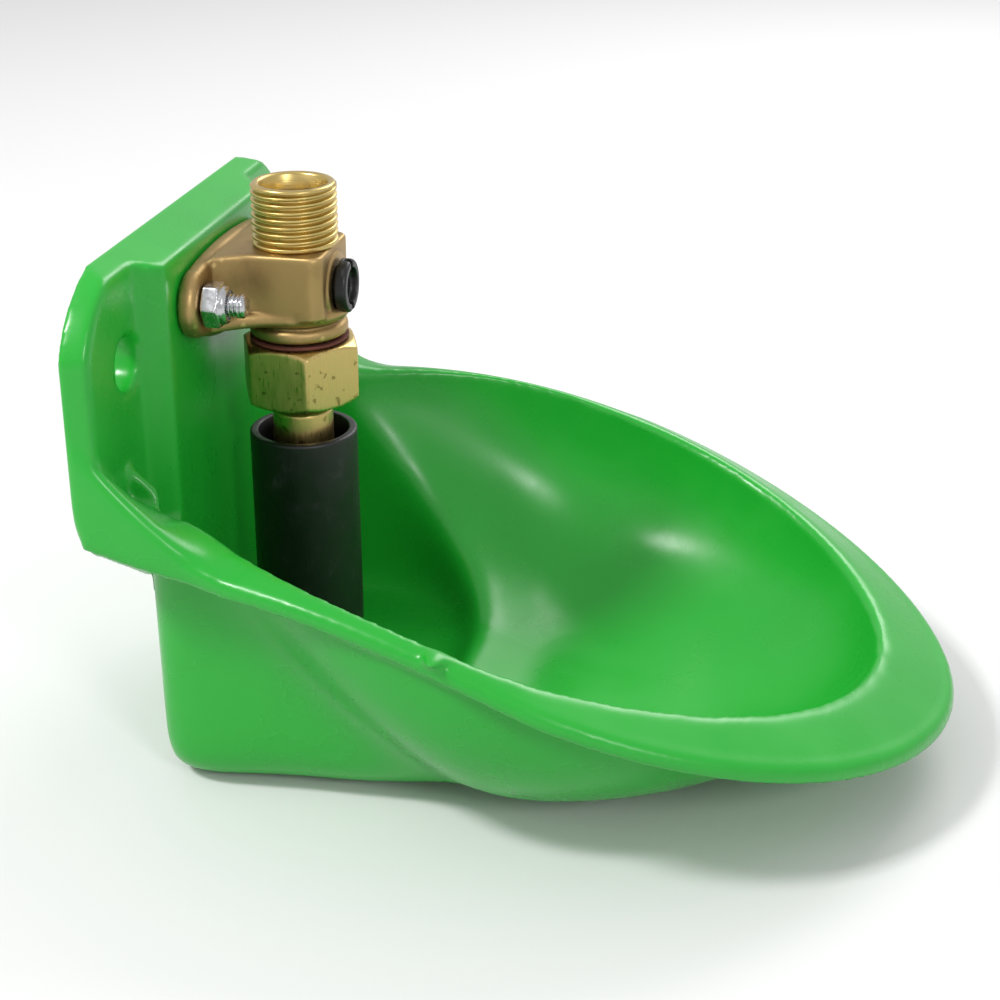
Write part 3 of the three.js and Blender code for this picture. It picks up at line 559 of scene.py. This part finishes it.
def makeBowl():
    s = bowlShape
    wall, panelY = s["wall"], s["panelFrontY"]
    outside = tubBody(0, panelY + wall, s["boxReach"], s["boxCorner"], 0, 100, s["outerBlend"])
    combine(outside, within=[belowLip(2.5)])
    inside = tubBody(wall, panelY, s["wellFront"], s["wellRadius"], wall, 150, s["innerBlend"])
    extras = [bowlLip(), plateSolid(0, s["wallPlaneY"])]
    for sign in (-1, 1):
        x, half, front, foot = sign * s["gussetX"], s["gussetHalf"], s["gussetFront"], s["gussetFoot"]
        web = [(s["wingFrontY"] + 1, s["gussetTop"]), (s["wingFrontY"] + 1, foot), (front, foot),
               (front, edgeHeight(front) + 4.5)]
        extras.append(slab("gusset", web, x - half, x + half))
    pad = lathe("pad", [(0, -1)] + [onCircle(1, a) for a in range(-75, 90, 15)] + [(0, 1)], (0, 0),
                sides=32)
    pad.data.transform(Matrix.Diagonal((5.2, 2.6, 1.5, 1)))
    pad.data.transform(Matrix.Translation(Vector((5 - s["halfWidth"], 13, edgeHeight(13) + 0.9)) * mm))
    extras.append(pad)
    holes, sleeves = [], []
    for sign in (-1, 1):
        x, z = sign * s["holeX"], s["holeZ"]
        holes.append(rodAlongY("wallHole", s["holeRadius"], 80, 110, x, z, 48))
        holes.append(rodAlongY("boltHole", s["boltHole"], 80, 110, sign * s["boltX"], s["boltZ"], 48))
        sleeves.append(rodAlongY("sleeve", s["sleeve"], s["wingFrontY"] + 1, s["wallPlaneY"], x, z))
    hollow = combine(outside, extras, [inside, plateSolid(wall, s["wallPlaneY"] + 1)])
    bowl = combine(hollow, sleeves, holes)
    bowl.name = "mouldedBowl"
    soften(bowl, s["voxel"], s["edgePasses"])

    def mouthShare(p):  # the rim of the mouth is rounded well over, up to where the fins begin
        above = p[:, 2] - edgeHeight(p[:, 1])
        return 0.5 * np.clip((above - 0.8) / 1.2, 0, 1) * np.clip((78 - p[:, 1]) / 8, 0, 1)
    relax(bowl, s["mouthPasses"], mouthShare)
    thinner = bowl.modifiers.new("thinner", "DECIMATE")
    thinner.ratio = min(1, s["mostTriangles"] / (2 * len(bowl.data.polygons)))
    evaluated(bowl)
    return place(bowl, "frame", "green_plastic", greenPlastic, "bowl")


makeBowl()

# brass valve body, gasket and nut
valveShape = {
    "axisY": 67, "blockTop": 122.6, "blockBottom": 106.5, "blockHalf": 12.6, "blockFront": -9.8,
    "corner": 3, "flare": 6, "ledgeRadius": 12.9, "ledgeTop": 108.2, "ledgeBottom": 104.6,
    "flangeFront": 82.6, "flangeBack": 86.9, "boltX": 22.5, "boltZ": 113.2, "ear": 8.3,
    "outletRadius": 10.4, "screwZ": 112.6, "bossRadius": 8.2,
    "inletTop": 138, "inletRadius": 10.4775, "rootRadius": 9.3155, "pitch": 1.814, "bore": 8.3,
    "nutFlats": 27, "nutTop": 98.6, "nutBottom": 83, "nutTurn": -7, "nutMouth": 6.4,
}
axis = (0, valveShape["axisY"])


def flaredOutline(half, front, corner, flare, back):  # block plan, widening into the flange
    steps = 8
    right = [onCircle(corner, a, half - corner, front + corner) for a in range(-90, 1, 15)]
    start = back - 11
    right += [(half + flare * (i / steps) ** 2.2, start + (back - start) * i / steps)
              for i in range(steps + 1)]
    return right + [(-x, y) for x, y in reversed(right)]


def flangeEdge():
    v = valveShape
    steps = 10

    def bow(height):
        return [(v["boltX"] * (1 - 2 * i / steps), v["boltZ"] + height(abs(1 - 2 * i / steps)))
                for i in range(1, steps)]

    def ear(sign, start):
        return [onCircle(v["ear"], start + a, sign * v["boltX"], v["boltZ"]) for a in range(0, 181, 12)]
    top = bow(lambda s: v["ear"] + 1.6 * (1 - s * s))
    bottom = bow(lambda s: -v["ear"] - 4.4 * (1 - s * s))
    return ear(1, -90) + top + ear(-1, 90) + bottom[::-1]


def makeValveBody():
    v = valveShape
    back = v["flangeFront"] + 1 - v["axisY"]
    plan = flaredOutline(v["blockHalf"], v["blockFront"], v["corner"], v["flare"], back)
    block = skin("block", [[(x * w, v["axisY"] + y * w, z) for x, y in plan] for z, w in (
        (v["blockBottom"], 0.99), (v["blockTop"] - 0.7, 1.0), (v["blockTop"], 0.965))])
    reach = v["ledgeRadius"]
    ledgePlan = [onCircle(reach, a) for a in range(-180, 1, 6)]
    ledgePlan += [(reach + 8 * (i / 8) ** 2, back * i / 8) for i in range(1, 9)]
    ledgePlan += [(-reach - 8 * (i / 8) ** 2, back * i / 8) for i in range(8, 0, -1)]
    middle = (v["ledgeTop"] + v["ledgeBottom"]) / 2
    ledge = skin("ledge", [[(x * w, v["axisY"] + y * w, z) for x, y in ledgePlan] for z, w in (
        (v["ledgeBottom"], 0.93), (v["ledgeBottom"] + 0.8, 0.985), (middle, 1.0),
        (v["ledgeTop"] - 0.8, 0.985), (v["ledgeTop"], 0.93))])
    edge = flangeEdge()
    middleZ = v["boltZ"]
    layers = []
    for y, inset in ((v["flangeFront"], 1.6), (v["flangeFront"] + 0.5, 0.6), (v["flangeFront"] + 1.5, 0),
                     (v["flangeBack"] - 0.6, 0), (v["flangeBack"], 0.6)):
        layers.append([(x * (1 - inset / 30), y, middleZ + (z - middleZ) * (1 - inset / 9))
                       for x, z in edge])
    flange = skin("flange", layers)
    under = lathe("under", [(0, 92), (10.3, 92), (10.3, 100.2), (11.6, 100.2), (12.2, 100.9),
                            (12.2, 102.6), (11.6, 103.3), (10.9, 103.5), (10.9, 106), (0, 106)], axis)
    boss = rodAlongY("boss", v["bossRadius"], v["axisY"] - 10.4, v["axisY"], 0, v["screwZ"])
    collar = lathe("collar", [(0, 120), (9.0, 120), (9.0, 124.4), (0, 124.4)], axis)
    bores = [lathe("bore", [(0, 118), (v["bore"], 118), (v["bore"], 126), (0, 126)], axis),
             lathe("way", [(0, 100), (4.2, 100), (4.2, 120), (0, 120)], axis, sides=48),
             lathe("chamber", [(0, 90), (8.7, 90), (8.7, 104), (0, 106)], axis),
             rodAlongY("screwBore", 4.8, v["axisY"] - 14, v["axisY"] + 4.6, 0, v["screwZ"]),
             *[rodAlongY("boltHole", 3.3, 80, 95, sign * v["boltX"], v["boltZ"]) for sign in (-1, 1)]]
    body = combine(block, [ledge, flange, under, boss, collar], bores)
    body.name = "castValveBody"
    soften(body, 0.4, 3)
    return place(body, "frame", "cast_brass", castBrass, "valve_body")


# Cuts a helical thread into a turned blank that stands along Z with its axis through the origin.
def helixTree():
    tree, given = newTree("helicalThread", {"Pitch": "Float", "Crest radius": "Float", "Depth": "Float",
                                            "Low end": "Float", "High end": "Float",
                                            "Material": "Material"})
    here = addNode(tree, "GeometryNodeInputPosition").outputs[0]
    part = addNode(tree, "ShaderNodeSeparateXYZ", {0: here}).outputs
    bearing = addNode(tree, "ShaderNodeMath", {0: part[1], 1: part[0]}, operation="ARCTAN2")
    turn = addNode(tree, "ShaderNodeMath", {0: bearing.outputs[0], 1: 2 * math.pi}, operation="DIVIDE")
    climb = addNode(tree, "ShaderNodeMath", {0: part[2], 1: given["Pitch"]}, operation="DIVIDE")
    behind = addNode(tree, "ShaderNodeMath", {0: climb.outputs[0], 1: turn.outputs[0]},
                     operation="SUBTRACT")
    phase = addNode(tree, "ShaderNodeMath", {0: behind.outputs[0]}, operation="FRACT")
    middle = addNode(tree, "ShaderNodeMath", {0: phase.outputs[0], 1: 0.5}, operation="SUBTRACT")
    valley = addNode(tree, "ShaderNodeMath", {0: middle.outputs[0]}, operation="ABSOLUTE")
    flank = addNode(tree, "ShaderNodeMapRange", {0: valley.outputs[0], 1: 0.09, 2: 0.42, 3: 0.0, 4: 1.0},
                    interpolation_type="SMOOTHSTEP")
    aboveLow = addNode(tree, "ShaderNodeMath", {0: part[2], 1: given["Low end"]}, operation="SUBTRACT")
    belowHigh = addNode(tree, "ShaderNodeMath", {0: given["High end"], 1: part[2]}, operation="SUBTRACT")
    fadeLow = addNode(tree, "ShaderNodeMapRange", {0: aboveLow.outputs[0], 1: 0.0, 2: 1.2 * mm})
    fadeHigh = addNode(tree, "ShaderNodeMapRange", {0: belowHigh.outputs[0], 1: 0.0, 2: 0.5 * mm})
    ends = addNode(tree, "ShaderNodeMath", {0: fadeLow.outputs[0], 1: fadeHigh.outputs[0]},
                   operation="MULTIPLY")
    flat = addNode(tree, "ShaderNodeVectorMath", {0: here, 1: (1, 1, 0)}, operation="MULTIPLY")
    radius = addNode(tree, "ShaderNodeVectorMath", {0: flat.outputs[0]}, operation="LENGTH")
    skinLine = addNode(tree, "ShaderNodeMath", {0: given["Crest radius"], 1: 0.02 * mm},
                       operation="SUBTRACT")
    outerSkin = addNode(tree, "ShaderNodeMath", {0: radius.outputs["Value"], 1: skinLine.outputs[0]},
                        operation="GREATER_THAN")
    shaped = addNode(tree, "ShaderNodeMath", {0: flank.outputs[0], 1: ends.outputs[0]},
                     operation="MULTIPLY")
    share = addNode(tree, "ShaderNodeMath", {0: shaped.outputs[0], 1: outerSkin.outputs[0]},
                    operation="MULTIPLY")
    depth = addNode(tree, "ShaderNodeMath", {0: share.outputs[0], 1: given["Depth"]},
                    operation="MULTIPLY")
    outward = addNode(tree, "ShaderNodeVectorMath", {0: flat.outputs[0]}, operation="NORMALIZE")
    back = addNode(tree, "ShaderNodeMath", {0: depth.outputs[0], 1: -1.0}, operation="MULTIPLY")
    move = addNode(tree, "ShaderNodeVectorMath", {0: outward.outputs[0], "Scale": back.outputs[0]},
                   operation="SCALE")
    placed = addNode(tree, "GeometryNodeSetPosition", {0: given["Geometry"], "Offset": move.outputs[0]})
    endTree(tree, placed.outputs[0], given["Material"])
    return tree


threadTree = helixTree()


def threadedBlank(name, crest, low, high, chamfer, bore, pitch, depth, material):
    rings = max(24, int((high - low) / pitch * 16))
    wall = [(crest, low + (high - low) * i / rings) for i in range(rings + 1)]
    inner = [(bore, high + chamfer * 0.2), (bore, low - chamfer)] if bore else [(0, high + chamfer),
                                                                                (0, low - chamfer)]
    profile = ([(crest - chamfer, low - chamfer)] + wall + [(crest - chamfer, high + chamfer)]
               + ([(bore + 0.5, high + chamfer)] if bore else []) + inner)
    blank = lathe(name, profile, (0, 0), sides=128)
    return runTree(blank, threadTree, {"Pitch": pitch * mm, "Crest radius": crest * mm,
                                       "Depth": depth * mm, "Low end": low * mm,
                                       "High end": high * mm, "Material": material})


def makeInlet():
    v = valveShape
    low, high = v["blockTop"] + 0.5, v["inletTop"] - 0.7
    inlet = threadedBlank("inletThread", v["inletRadius"], low, high, 0.7, v["bore"], v["pitch"],
                          v["inletRadius"] - v["rootRadius"], turnedBrass)
    inlet.data.transform(Matrix.Translation((0, v["axisY"] * mm, 0)))
    return place(inlet, "frame", "turned_brass", turnedBrass)


def makeUnion():
    v = valveShape
    hole = v["outletRadius"] + 0.3
    gasket = lathe("fibreGasket", rounded([(hole, 98.9), (12.3, 98.9), (12.3, 99.6), (hole, 99.6)], 0.2),
                   axis)
    place(gasket, "frame", "fibre_gasket", redFibre, "union_gasket")

    corner = v["nutFlats"] / math.sqrt(3)
    top, bottom = v["nutTop"], v["nutBottom"]
    turns = [math.radians(90 + v["nutTurn"] + 60 * i) for i in range(6)]
    prism = skin("unionNut", [[(corner * math.cos(t), v["axisY"] + corner * math.sin(t), z)
                               for t in turns] for z in (bottom, top)])
    chamfer = lathe("chamfer", [(0, bottom), (corner - 2.2, bottom), (corner + 0.2, bottom + 1.4),
                                (corner + 0.2, top - 1.4), (corner - 2.2, top), (0, top)], axis, sides=192)
    combine(prism, within=[chamfer])
    mouth = v["nutMouth"]
    bore = lathe("bore", [(0, bottom - 1), (mouth + 0.6, bottom - 1), (mouth, bottom + 0.6),
                          (mouth, bottom + 1.6), (10.8, bottom + 1.6), (10.8, top + 1), (0, top + 1)],
                 axis)
    nut = combine(prism, cut=[bore])
    soften(nut, 0.38, 2)
    return place(nut, "frame", "turned_brass", milledBrass, "union_nut")


makeValveBody()
makeInlet()
makeUnion()

# seat, spring, stem and tube
stemShape = {"pivotZ": 92, "ball": 7.1, "seatGap": 0.3, "stem": 7.6, "bottom": 56, "hubTop": 68,
             "hubBottom": 61,
             "tube": 13.7, "tubeBore": 11.4, "tubeTop": 74.4, "tubeBottom": 19,
             "wire": 0.55, "coil": 5.2, "turns": 4.5, "springTop": 103.2}


def underBall(radius, r):
    return stemShape["pivotZ"] - math.sqrt(radius * radius - r * r)


def makeSeat():
    s = stemShape
    socket = s["ball"] + s["seatGap"]
    foot = valveShape["nutBottom"] + 1.9
    cup = [(r, underBall(socket, r)) for r in (7, 6.8, 6.6, 6.3, 6)]
    seat = lathe("rubberSeat", [(6, foot), (10.5, foot), (10.5, underBall(socket, 7) - 0.7),
                                (9.8, underBall(socket, 7))] + cup, axis)
    return place(seat, "frame", "seal_rubber", sealRubber, "seat_seal", creaseAngle=40)


def makeStem():
    s = stemShape
    ball = [(r, underBall(s["ball"], r)) for r in (3.8, 4.4, 5, 5.5, 6, 6.4, 6.7)]
    profile = rounded([(0, s["bottom"]), (s["stem"] - 0.1, s["bottom"]), (s["stem"], 58.9), (6.7, 58.9),
                       (6.7, 60.2), (s["stem"], 60.2), (s["stem"], 79.7), (6.6, 80.7), (3.8, 80.9)],
                      0.45, 3, False)
    profile += ball + [(7.0, 91.4), (5, 91.8), (1.2, 91.8), (1.1, 92.9), (0, 93.1)]
    stem = lathe("brassStem", profile, axis, sides=80)
    return place(stem, "stem", "turned_brass", milledBrass, "valve_stem", creaseAngle=50)


def makeSpringCup():
    cup = lathe("springCup", rounded([(0, 93.4), (6.4, 93.4), (6.4, 94.4), (3.2, 94.6), (2.9, 96.8),
                                      (0, 97)], 0.3, 3, False), axis, sides=64)
    return place(cup, "spring_seat", "black_plastic", blackNylon, "spring_cup", creaseAngle=50)


def springTree():
    tree, given = newTree("coiledSpring", {"Turns": "Float", "Radius": "Float", "Wire": "Float",
                                           "Height": "Float", "Material": "Material"})
    path = addNode(tree, "GeometryNodeCurveSpiral", {"Resolution": 40, "Rotations": given["Turns"],
                                                     "Start Radius": given["Radius"],
                                                     "End Radius": given["Radius"],
                                                     "Height": given["Height"]})
    section = addNode(tree, "GeometryNodeCurvePrimitiveCircle", {"Resolution": 12, "Radius": given["Wire"]})
    wire = addNode(tree, "GeometryNodeCurveToMesh", {0: path.outputs[0], 1: section.outputs[0],
                                                     "Fill Caps": True})
    endTree(tree, wire.outputs[0], given["Material"])
    return tree


def makeSpring():
    s = stemShape
    low = s["pivotZ"] + 4
    holder = newMesh("returnSpring", [(0, 0, 0)], [])
    spring = runTree(holder, springTree(), {"Turns": s["turns"], "Radius": s["coil"] * mm,
                                            "Wire": s["wire"] * mm, "Height": (s["springTop"] - low) * mm,
                                            "Material": springSteel})
    spring.data.transform(Matrix.Translation(Vector((0, axis[1], low)) * mm))
    return place(spring, "frame", "spring_steel", springSteel, "return_spring")


def makeTube():
    s = stemShape
    out, bore, top, low = s["tube"], s["tubeBore"], s["tubeTop"], s["tubeBottom"]
    outer = rounded([(bore, low), (out - 0.2, low), (out, low + 1.5), (out - 0.1, top - 0.5),
                     (out - 0.5, top), (bore + 0.3, top), (bore, top - 0.4)], 0.3, 3, False)
    inner = rounded([(bore, s["hubTop"] + 0.3), (bore + 0.7, s["hubTop"] + 0.1),
                     (bore + 0.7, s["hubBottom"] - 0.1), (bore, s["hubBottom"] - 0.3)], 0.2, 2)
    straight = [(outer[-1][0], outer[-1][1])]
    tube = lathe("blackTube", outer + straight + inner, axis, sides=128)
    return place(tube, "stem", "black_plastic", blackTube, "drinker_tube", creaseAngle=50)


# One arm repeated at equal turns round the valve axis, realised with the ring around it.
def spiderTree():
    tree, given = newTree("spiderArms", {"Arms": "Int", "Reach": "Float", "Middle": "Float",
                                         "Arm size": "Vector", "Material": "Material"})
    cube = addNode(tree, "GeometryNodeMeshCube", {"Size": given["Arm size"], 1: 3, 2: 3, 3: 5})
    shift = addNode(tree, "ShaderNodeCombineXYZ", {0: given["Reach"], 2: given["Middle"]})
    arm = addNode(tree, "GeometryNodeTransform", {0: cube.outputs[0], "Translation": shift.outputs[0]})
    points = addNode(tree, "GeometryNodeMeshLine", {"Count": given["Arms"], "Offset": (0, 0, 0)})
    order = addNode(tree, "GeometryNodeInputIndex").outputs[0]
    turn = addNode(tree, "ShaderNodeMath", {0: order, 1: given["Arms"]}, operation="DIVIDE")
    half = addNode(tree, "ShaderNodeMath", {0: turn.outputs[0], 1: 2 * math.pi, 2: math.pi / 4},
                   operation="MULTIPLY_ADD")
    spin = addNode(tree, "ShaderNodeCombineXYZ", {2: half.outputs[0]})
    copies = addNode(tree, "GeometryNodeInstanceOnPoints", {0: points.outputs[0],
                                                            "Instance": arm.outputs[0],
                                                            "Rotation": spin.outputs[0]})
    whole = addNode(tree, "GeometryNodeJoinGeometry", {0: given["Geometry"]})
    tree.links.new(copies.outputs[0], whole.inputs[0])
    endTree(tree, whole.outputs[0], given["Material"])
    return tree


def makeHub():
    s = stemShape
    low, high = s["hubBottom"], s["hubTop"]
    inner, outer = s["stem"] + 0.3, s["tubeBore"] + 0.4
    sleeve = lathe("tubeHub", rounded([(inner, low), (inner + 1.4, low), (inner + 1.4, high),
                                       (inner, high)], 0.25, 2), (0, 0), sides=64)
    hub = runTree(sleeve, spiderTree(), {"Arms": 4, "Reach": (inner + outer + 1) / 2 * mm,
                                         "Middle": (low + high) / 2 * mm,
                                         "Arm size": (2.9 * mm, 2.4 * mm, (high - low - 0.6) * mm),
                                         "Material": blackNylon})
    for vertex in hub.data.vertices:  # the arms end on the groove's round wall
        if vertex.co.xy.length > (outer - 0.5) * mm:
            vertex.co.xy = vertex.co.xy.normalized() * outer * mm
    hub.data.transform(Matrix.Translation((0, axis[1] * mm, 0)))
    return place(hub, "stem", "black_plastic", blackNylon, "tube_hub", creaseAngle=40)


def makeClip():
    s = stemShape
    low = s["hubBottom"] - 1.8
    start, end = math.radians(13), math.radians(347)
    rings = []
    steps = 60
    for i in range(steps + 1):
        turn = start + (end - start) * i / steps
        section = rounded([(6.9, low), (9.1, low), (9.1, low + 0.8), (6.9, low + 0.8)], 0.15, 2)
        rings.append([(r * math.cos(turn), axis[1] + r * math.sin(turn), z) for r, z in section])
    clip = skin("hubClip", rings)
    return place(clip, "stem", "spring_steel", springSteel, "hub_clip", creaseAngle=40)


makeSeat()
makeStem()
makeSpringCup()
makeSpring()
makeTube()
makeHub()
makeClip()

# flow screw and fixing bolts
screwShape = {"front": 52.9, "head": 6.6, "headLength": 2.9, "cup": 4.7, "slot": 0.8, "thread": 4.4}


def makeFlowScrew():
    c, v = screwShape, valveShape
    front, y, z = c["front"], v["axisY"], v["screwZ"]
    head, thread, under = c["head"], c["thread"], front + c["headLength"]
    shank = lathe("flowScrew", [(0, front), (head - 0.5, front), (head, front + 0.5), (head, under),
                                (thread, under), (thread, y - 8.6), (3.5, y - 8.6), (3.5, y - 6.4),
                                (thread, y - 6.4), (thread, y - 3.4), (3.2, y + 2.6), (0, y + 2.6)],
                  (0, z), "Y")
    cup = lathe("cup", [(0, front - 1), (c["cup"], front - 1), (c["cup"] - 0.5, front + 1.9),
                        (0, front + 1.9)], (0, z), "Y")
    slot = boxBlock("slot", (-c["slot"], front - 1, z - 9), (c["slot"], front + 1.9, z + 9))
    screw = combine(shank, cut=[cup, slot])
    soften(screw, 0.28, 2)
    place(screw, "screw", "black_plastic", blackNylon, "regulating_screw")
    ring = lathe("flowScrewRing", [(4.1 + 0.42 * math.cos(t), y - 7.5 + 0.9 * math.sin(t)) for t in
                                   [2 * math.pi * i / 20 for i in range(20)]], (0, z), "Y", 72)
    return place(ring, "screw_carrier", "seal_rubber", sealRubber, "regulator_ring")


# Puts one copy of the given piece on each ear of the flange.
def earPairTree():
    tree, given = newTree("onBothEars", {"Half spacing": "Float", "Material": "Material"})
    start, gap = [addNode(tree, "ShaderNodeVectorMath", {0: (share, 0, 0), "Scale": given["Half spacing"]},
                          operation="SCALE").outputs[0] for share in (-1, 2)]
    points = addNode(tree, "GeometryNodeMeshLine", {"Count": 2, "Start Location": start, "Offset": gap})
    copies = addNode(tree, "GeometryNodeInstanceOnPoints", {0: points.outputs[0],
                                                            "Instance": given["Geometry"]})
    endTree(tree, copies.outputs[0], given["Material"])
    return tree


boltShape = {"radius": 3.0, "pitch": 1.0, "depth": 0.6, "nutBack": 82.3, "nutFront": 76.5, "end": 72.5,
             "panelBack": 90.2, "flats": 10}


def hexagon(name, flats, low, high, chamferLow, chamferHigh, z):
    corner = flats / math.sqrt(3)
    turns = [math.radians(60 * i) for i in range(6)]
    prism = skin(name, [[(corner * math.cos(t), y, z + corner * math.sin(t)) for t in turns]
                        for y in (low, high)])
    cone = lathe("cone", [(0, low), (corner - chamferLow * 1.6, low), (corner + 0.1, low + chamferLow),
                          (corner + 0.1, high - chamferHigh), (corner - chamferHigh * 1.6, high),
                          (0, high)], (0, z), "Y", 96)
    return combine(prism, within=[cone])


def makeFixings():
    b, z = boltShape, valveShape["boltZ"]
    front, behind = b["nutFront"], b["panelBack"]
    pair = earPairTree()

    def pairUp(obj, slotName, material, *nodes):
        runTree(obj, pair, {"Half spacing": valveShape["boltX"] * mm, "Material": material})
        return place(obj, "frame", slotName, material, *nodes)

    nut = hexagon("lockNuts", b["flats"], front + 1.7, b["nutBack"], 0.5, 0.4, z)
    collar = lathe("collar", rounded([(0, front), (3.8, front), (4.6, front + 0.7), (4.6, front + 2.6),
                                      (0, front + 2.6)], 0.4, 3, False), (0, z), "Y")
    hollow = lathe("hollow", [(0, front - 1), (3.4, front - 1), (3.4, front + 0.4), (4.0, front + 0.4),
                              (4.0, front + 2.3), (3.2, front + 2.3), (3.2, b["nutBack"] + 1),
                              (0, b["nutBack"] + 1)], (0, z), "Y")
    combine(nut, [collar], [hollow])
    soften(nut, 0.2, 2)
    pairUp(nut, "zinc_steel", zincPlate, "lock_nut_left", "lock_nut_right")

    insert = lathe("lockInserts", rounded([(3.05, front + 0.6), (3.8, front + 0.6), (3.8, front + 2.1),
                                           (3.05, front + 2.1)], 0.2, 2), (0, z), "Y", 64)
    pairUp(insert, "nylon", whiteNylon, "lock_insert_left", "lock_insert_right")

    washer = lathe("washers", rounded([(3.2, behind + 0.3), (6, behind + 0.3), (6, behind + 1.5),
                                       (3.2, behind + 1.5)], 0.2, 2), (0, z), "Y", 72)
    pairUp(washer, "zinc_steel", zincPlate, "washer_left", "washer_right")

    headFrom = behind + 1.8
    shank = threadedBlank("boltThreads", b["radius"] - 0.05, 0, headFrom - b["end"] - 0.7, 0.6, 0,
                          b["pitch"], b["depth"], zincPlate)
    shank.data.transform(Matrix.Rotation(-math.pi / 2, 4, "X"))
    shank.data.transform(Matrix.Translation(Vector((0, b["end"] + 0.6, z)) * mm))
    pairUp(shank, "zinc_steel", zincPlate)

    head = hexagon("boltHeads", b["flats"], headFrom, headFrom + 4, 0.05, 0.6, z)
    soften(head, 0.2, 2)
    pairUp(head, "zinc_steel", zincPlate, "bolt_left", "bolt_right")


makeFlowScrew()
makeFixings()
print("pieces ready")


# floor, light and camera
studio = {"floor": "#DADADA", "worldStrength": 0.72, "camera": (-0.44035, -0.0768, 0.2586),
          "azimuth": -78.09, "elevation": 23.96, "lens": 70.27,
          "keyBox": {"at": (-0.55, 0.75, 1.1), "aim": (0, 0, 0.06), "size": 0.22, "power": 13},
          "fillBox": {"at": (-1.1, -0.9, 0.9), "aim": (0, 0, 0.05), "size": 0.3, "power": 6},
          "rimBox": {"at": (0.9, -0.3, 0.8), "aim": (0, 0, 0.05), "size": 0.6, "power": 6}}


def makeStudio():
    floor = newMesh("floor", [(-4000, -4000, -0.2), (4000, -4000, -0.2), (4000, 4000, -0.2),
                              (-4000, 4000, -0.2)], [(0, 1, 2, 3)])
    paint = newMaterial("paleFloor", Roughness=0.9, Base_Color=colour(studio["floor"]))[0]
    floor.data.materials.append(paint)

    for name in ("keyBox", "fillBox", "rimBox"):
        box = studio[name]
        light = bpy.data.lights.new(name, "AREA")
        light.shape, light.energy = "RECTANGLE", box["power"]
        light.size = light.size_y = box["size"]
        lamp = bpy.data.objects.new(name, light)
        lamp.location = box["at"]
        lamp.rotation_euler = (Vector(box["aim"]) - Vector(box["at"])).to_track_quat("-Z", "Y").to_euler()
        bpy.context.scene.collection.objects.link(lamp)

    world = bpy.data.worlds.new("softStudio")
    world.use_nodes = True
    world.node_tree.nodes["Background"].inputs["Color"].default_value = colour("#FFFFFF")
    world.node_tree.nodes["Background"].inputs["Strength"].default_value = studio["worldStrength"]
    bpy.context.scene.world = world

    camera = bpy.data.objects.new("camera", bpy.data.cameras.new("camera"))
    camera.data.lens, camera.data.sensor_width = studio["lens"], 36
    camera.data.clip_start = 0.01
    camera.location = studio["camera"]
    camera.rotation_euler = (math.radians(90 - studio["elevation"]), 0, math.radians(studio["azimuth"]))
    bpy.context.scene.collection.objects.link(camera)
    bpy.context.scene.camera = camera
    bpy.context.scene.view_settings.view_transform = "Standard"
    print("studio ready")


makeStudio()
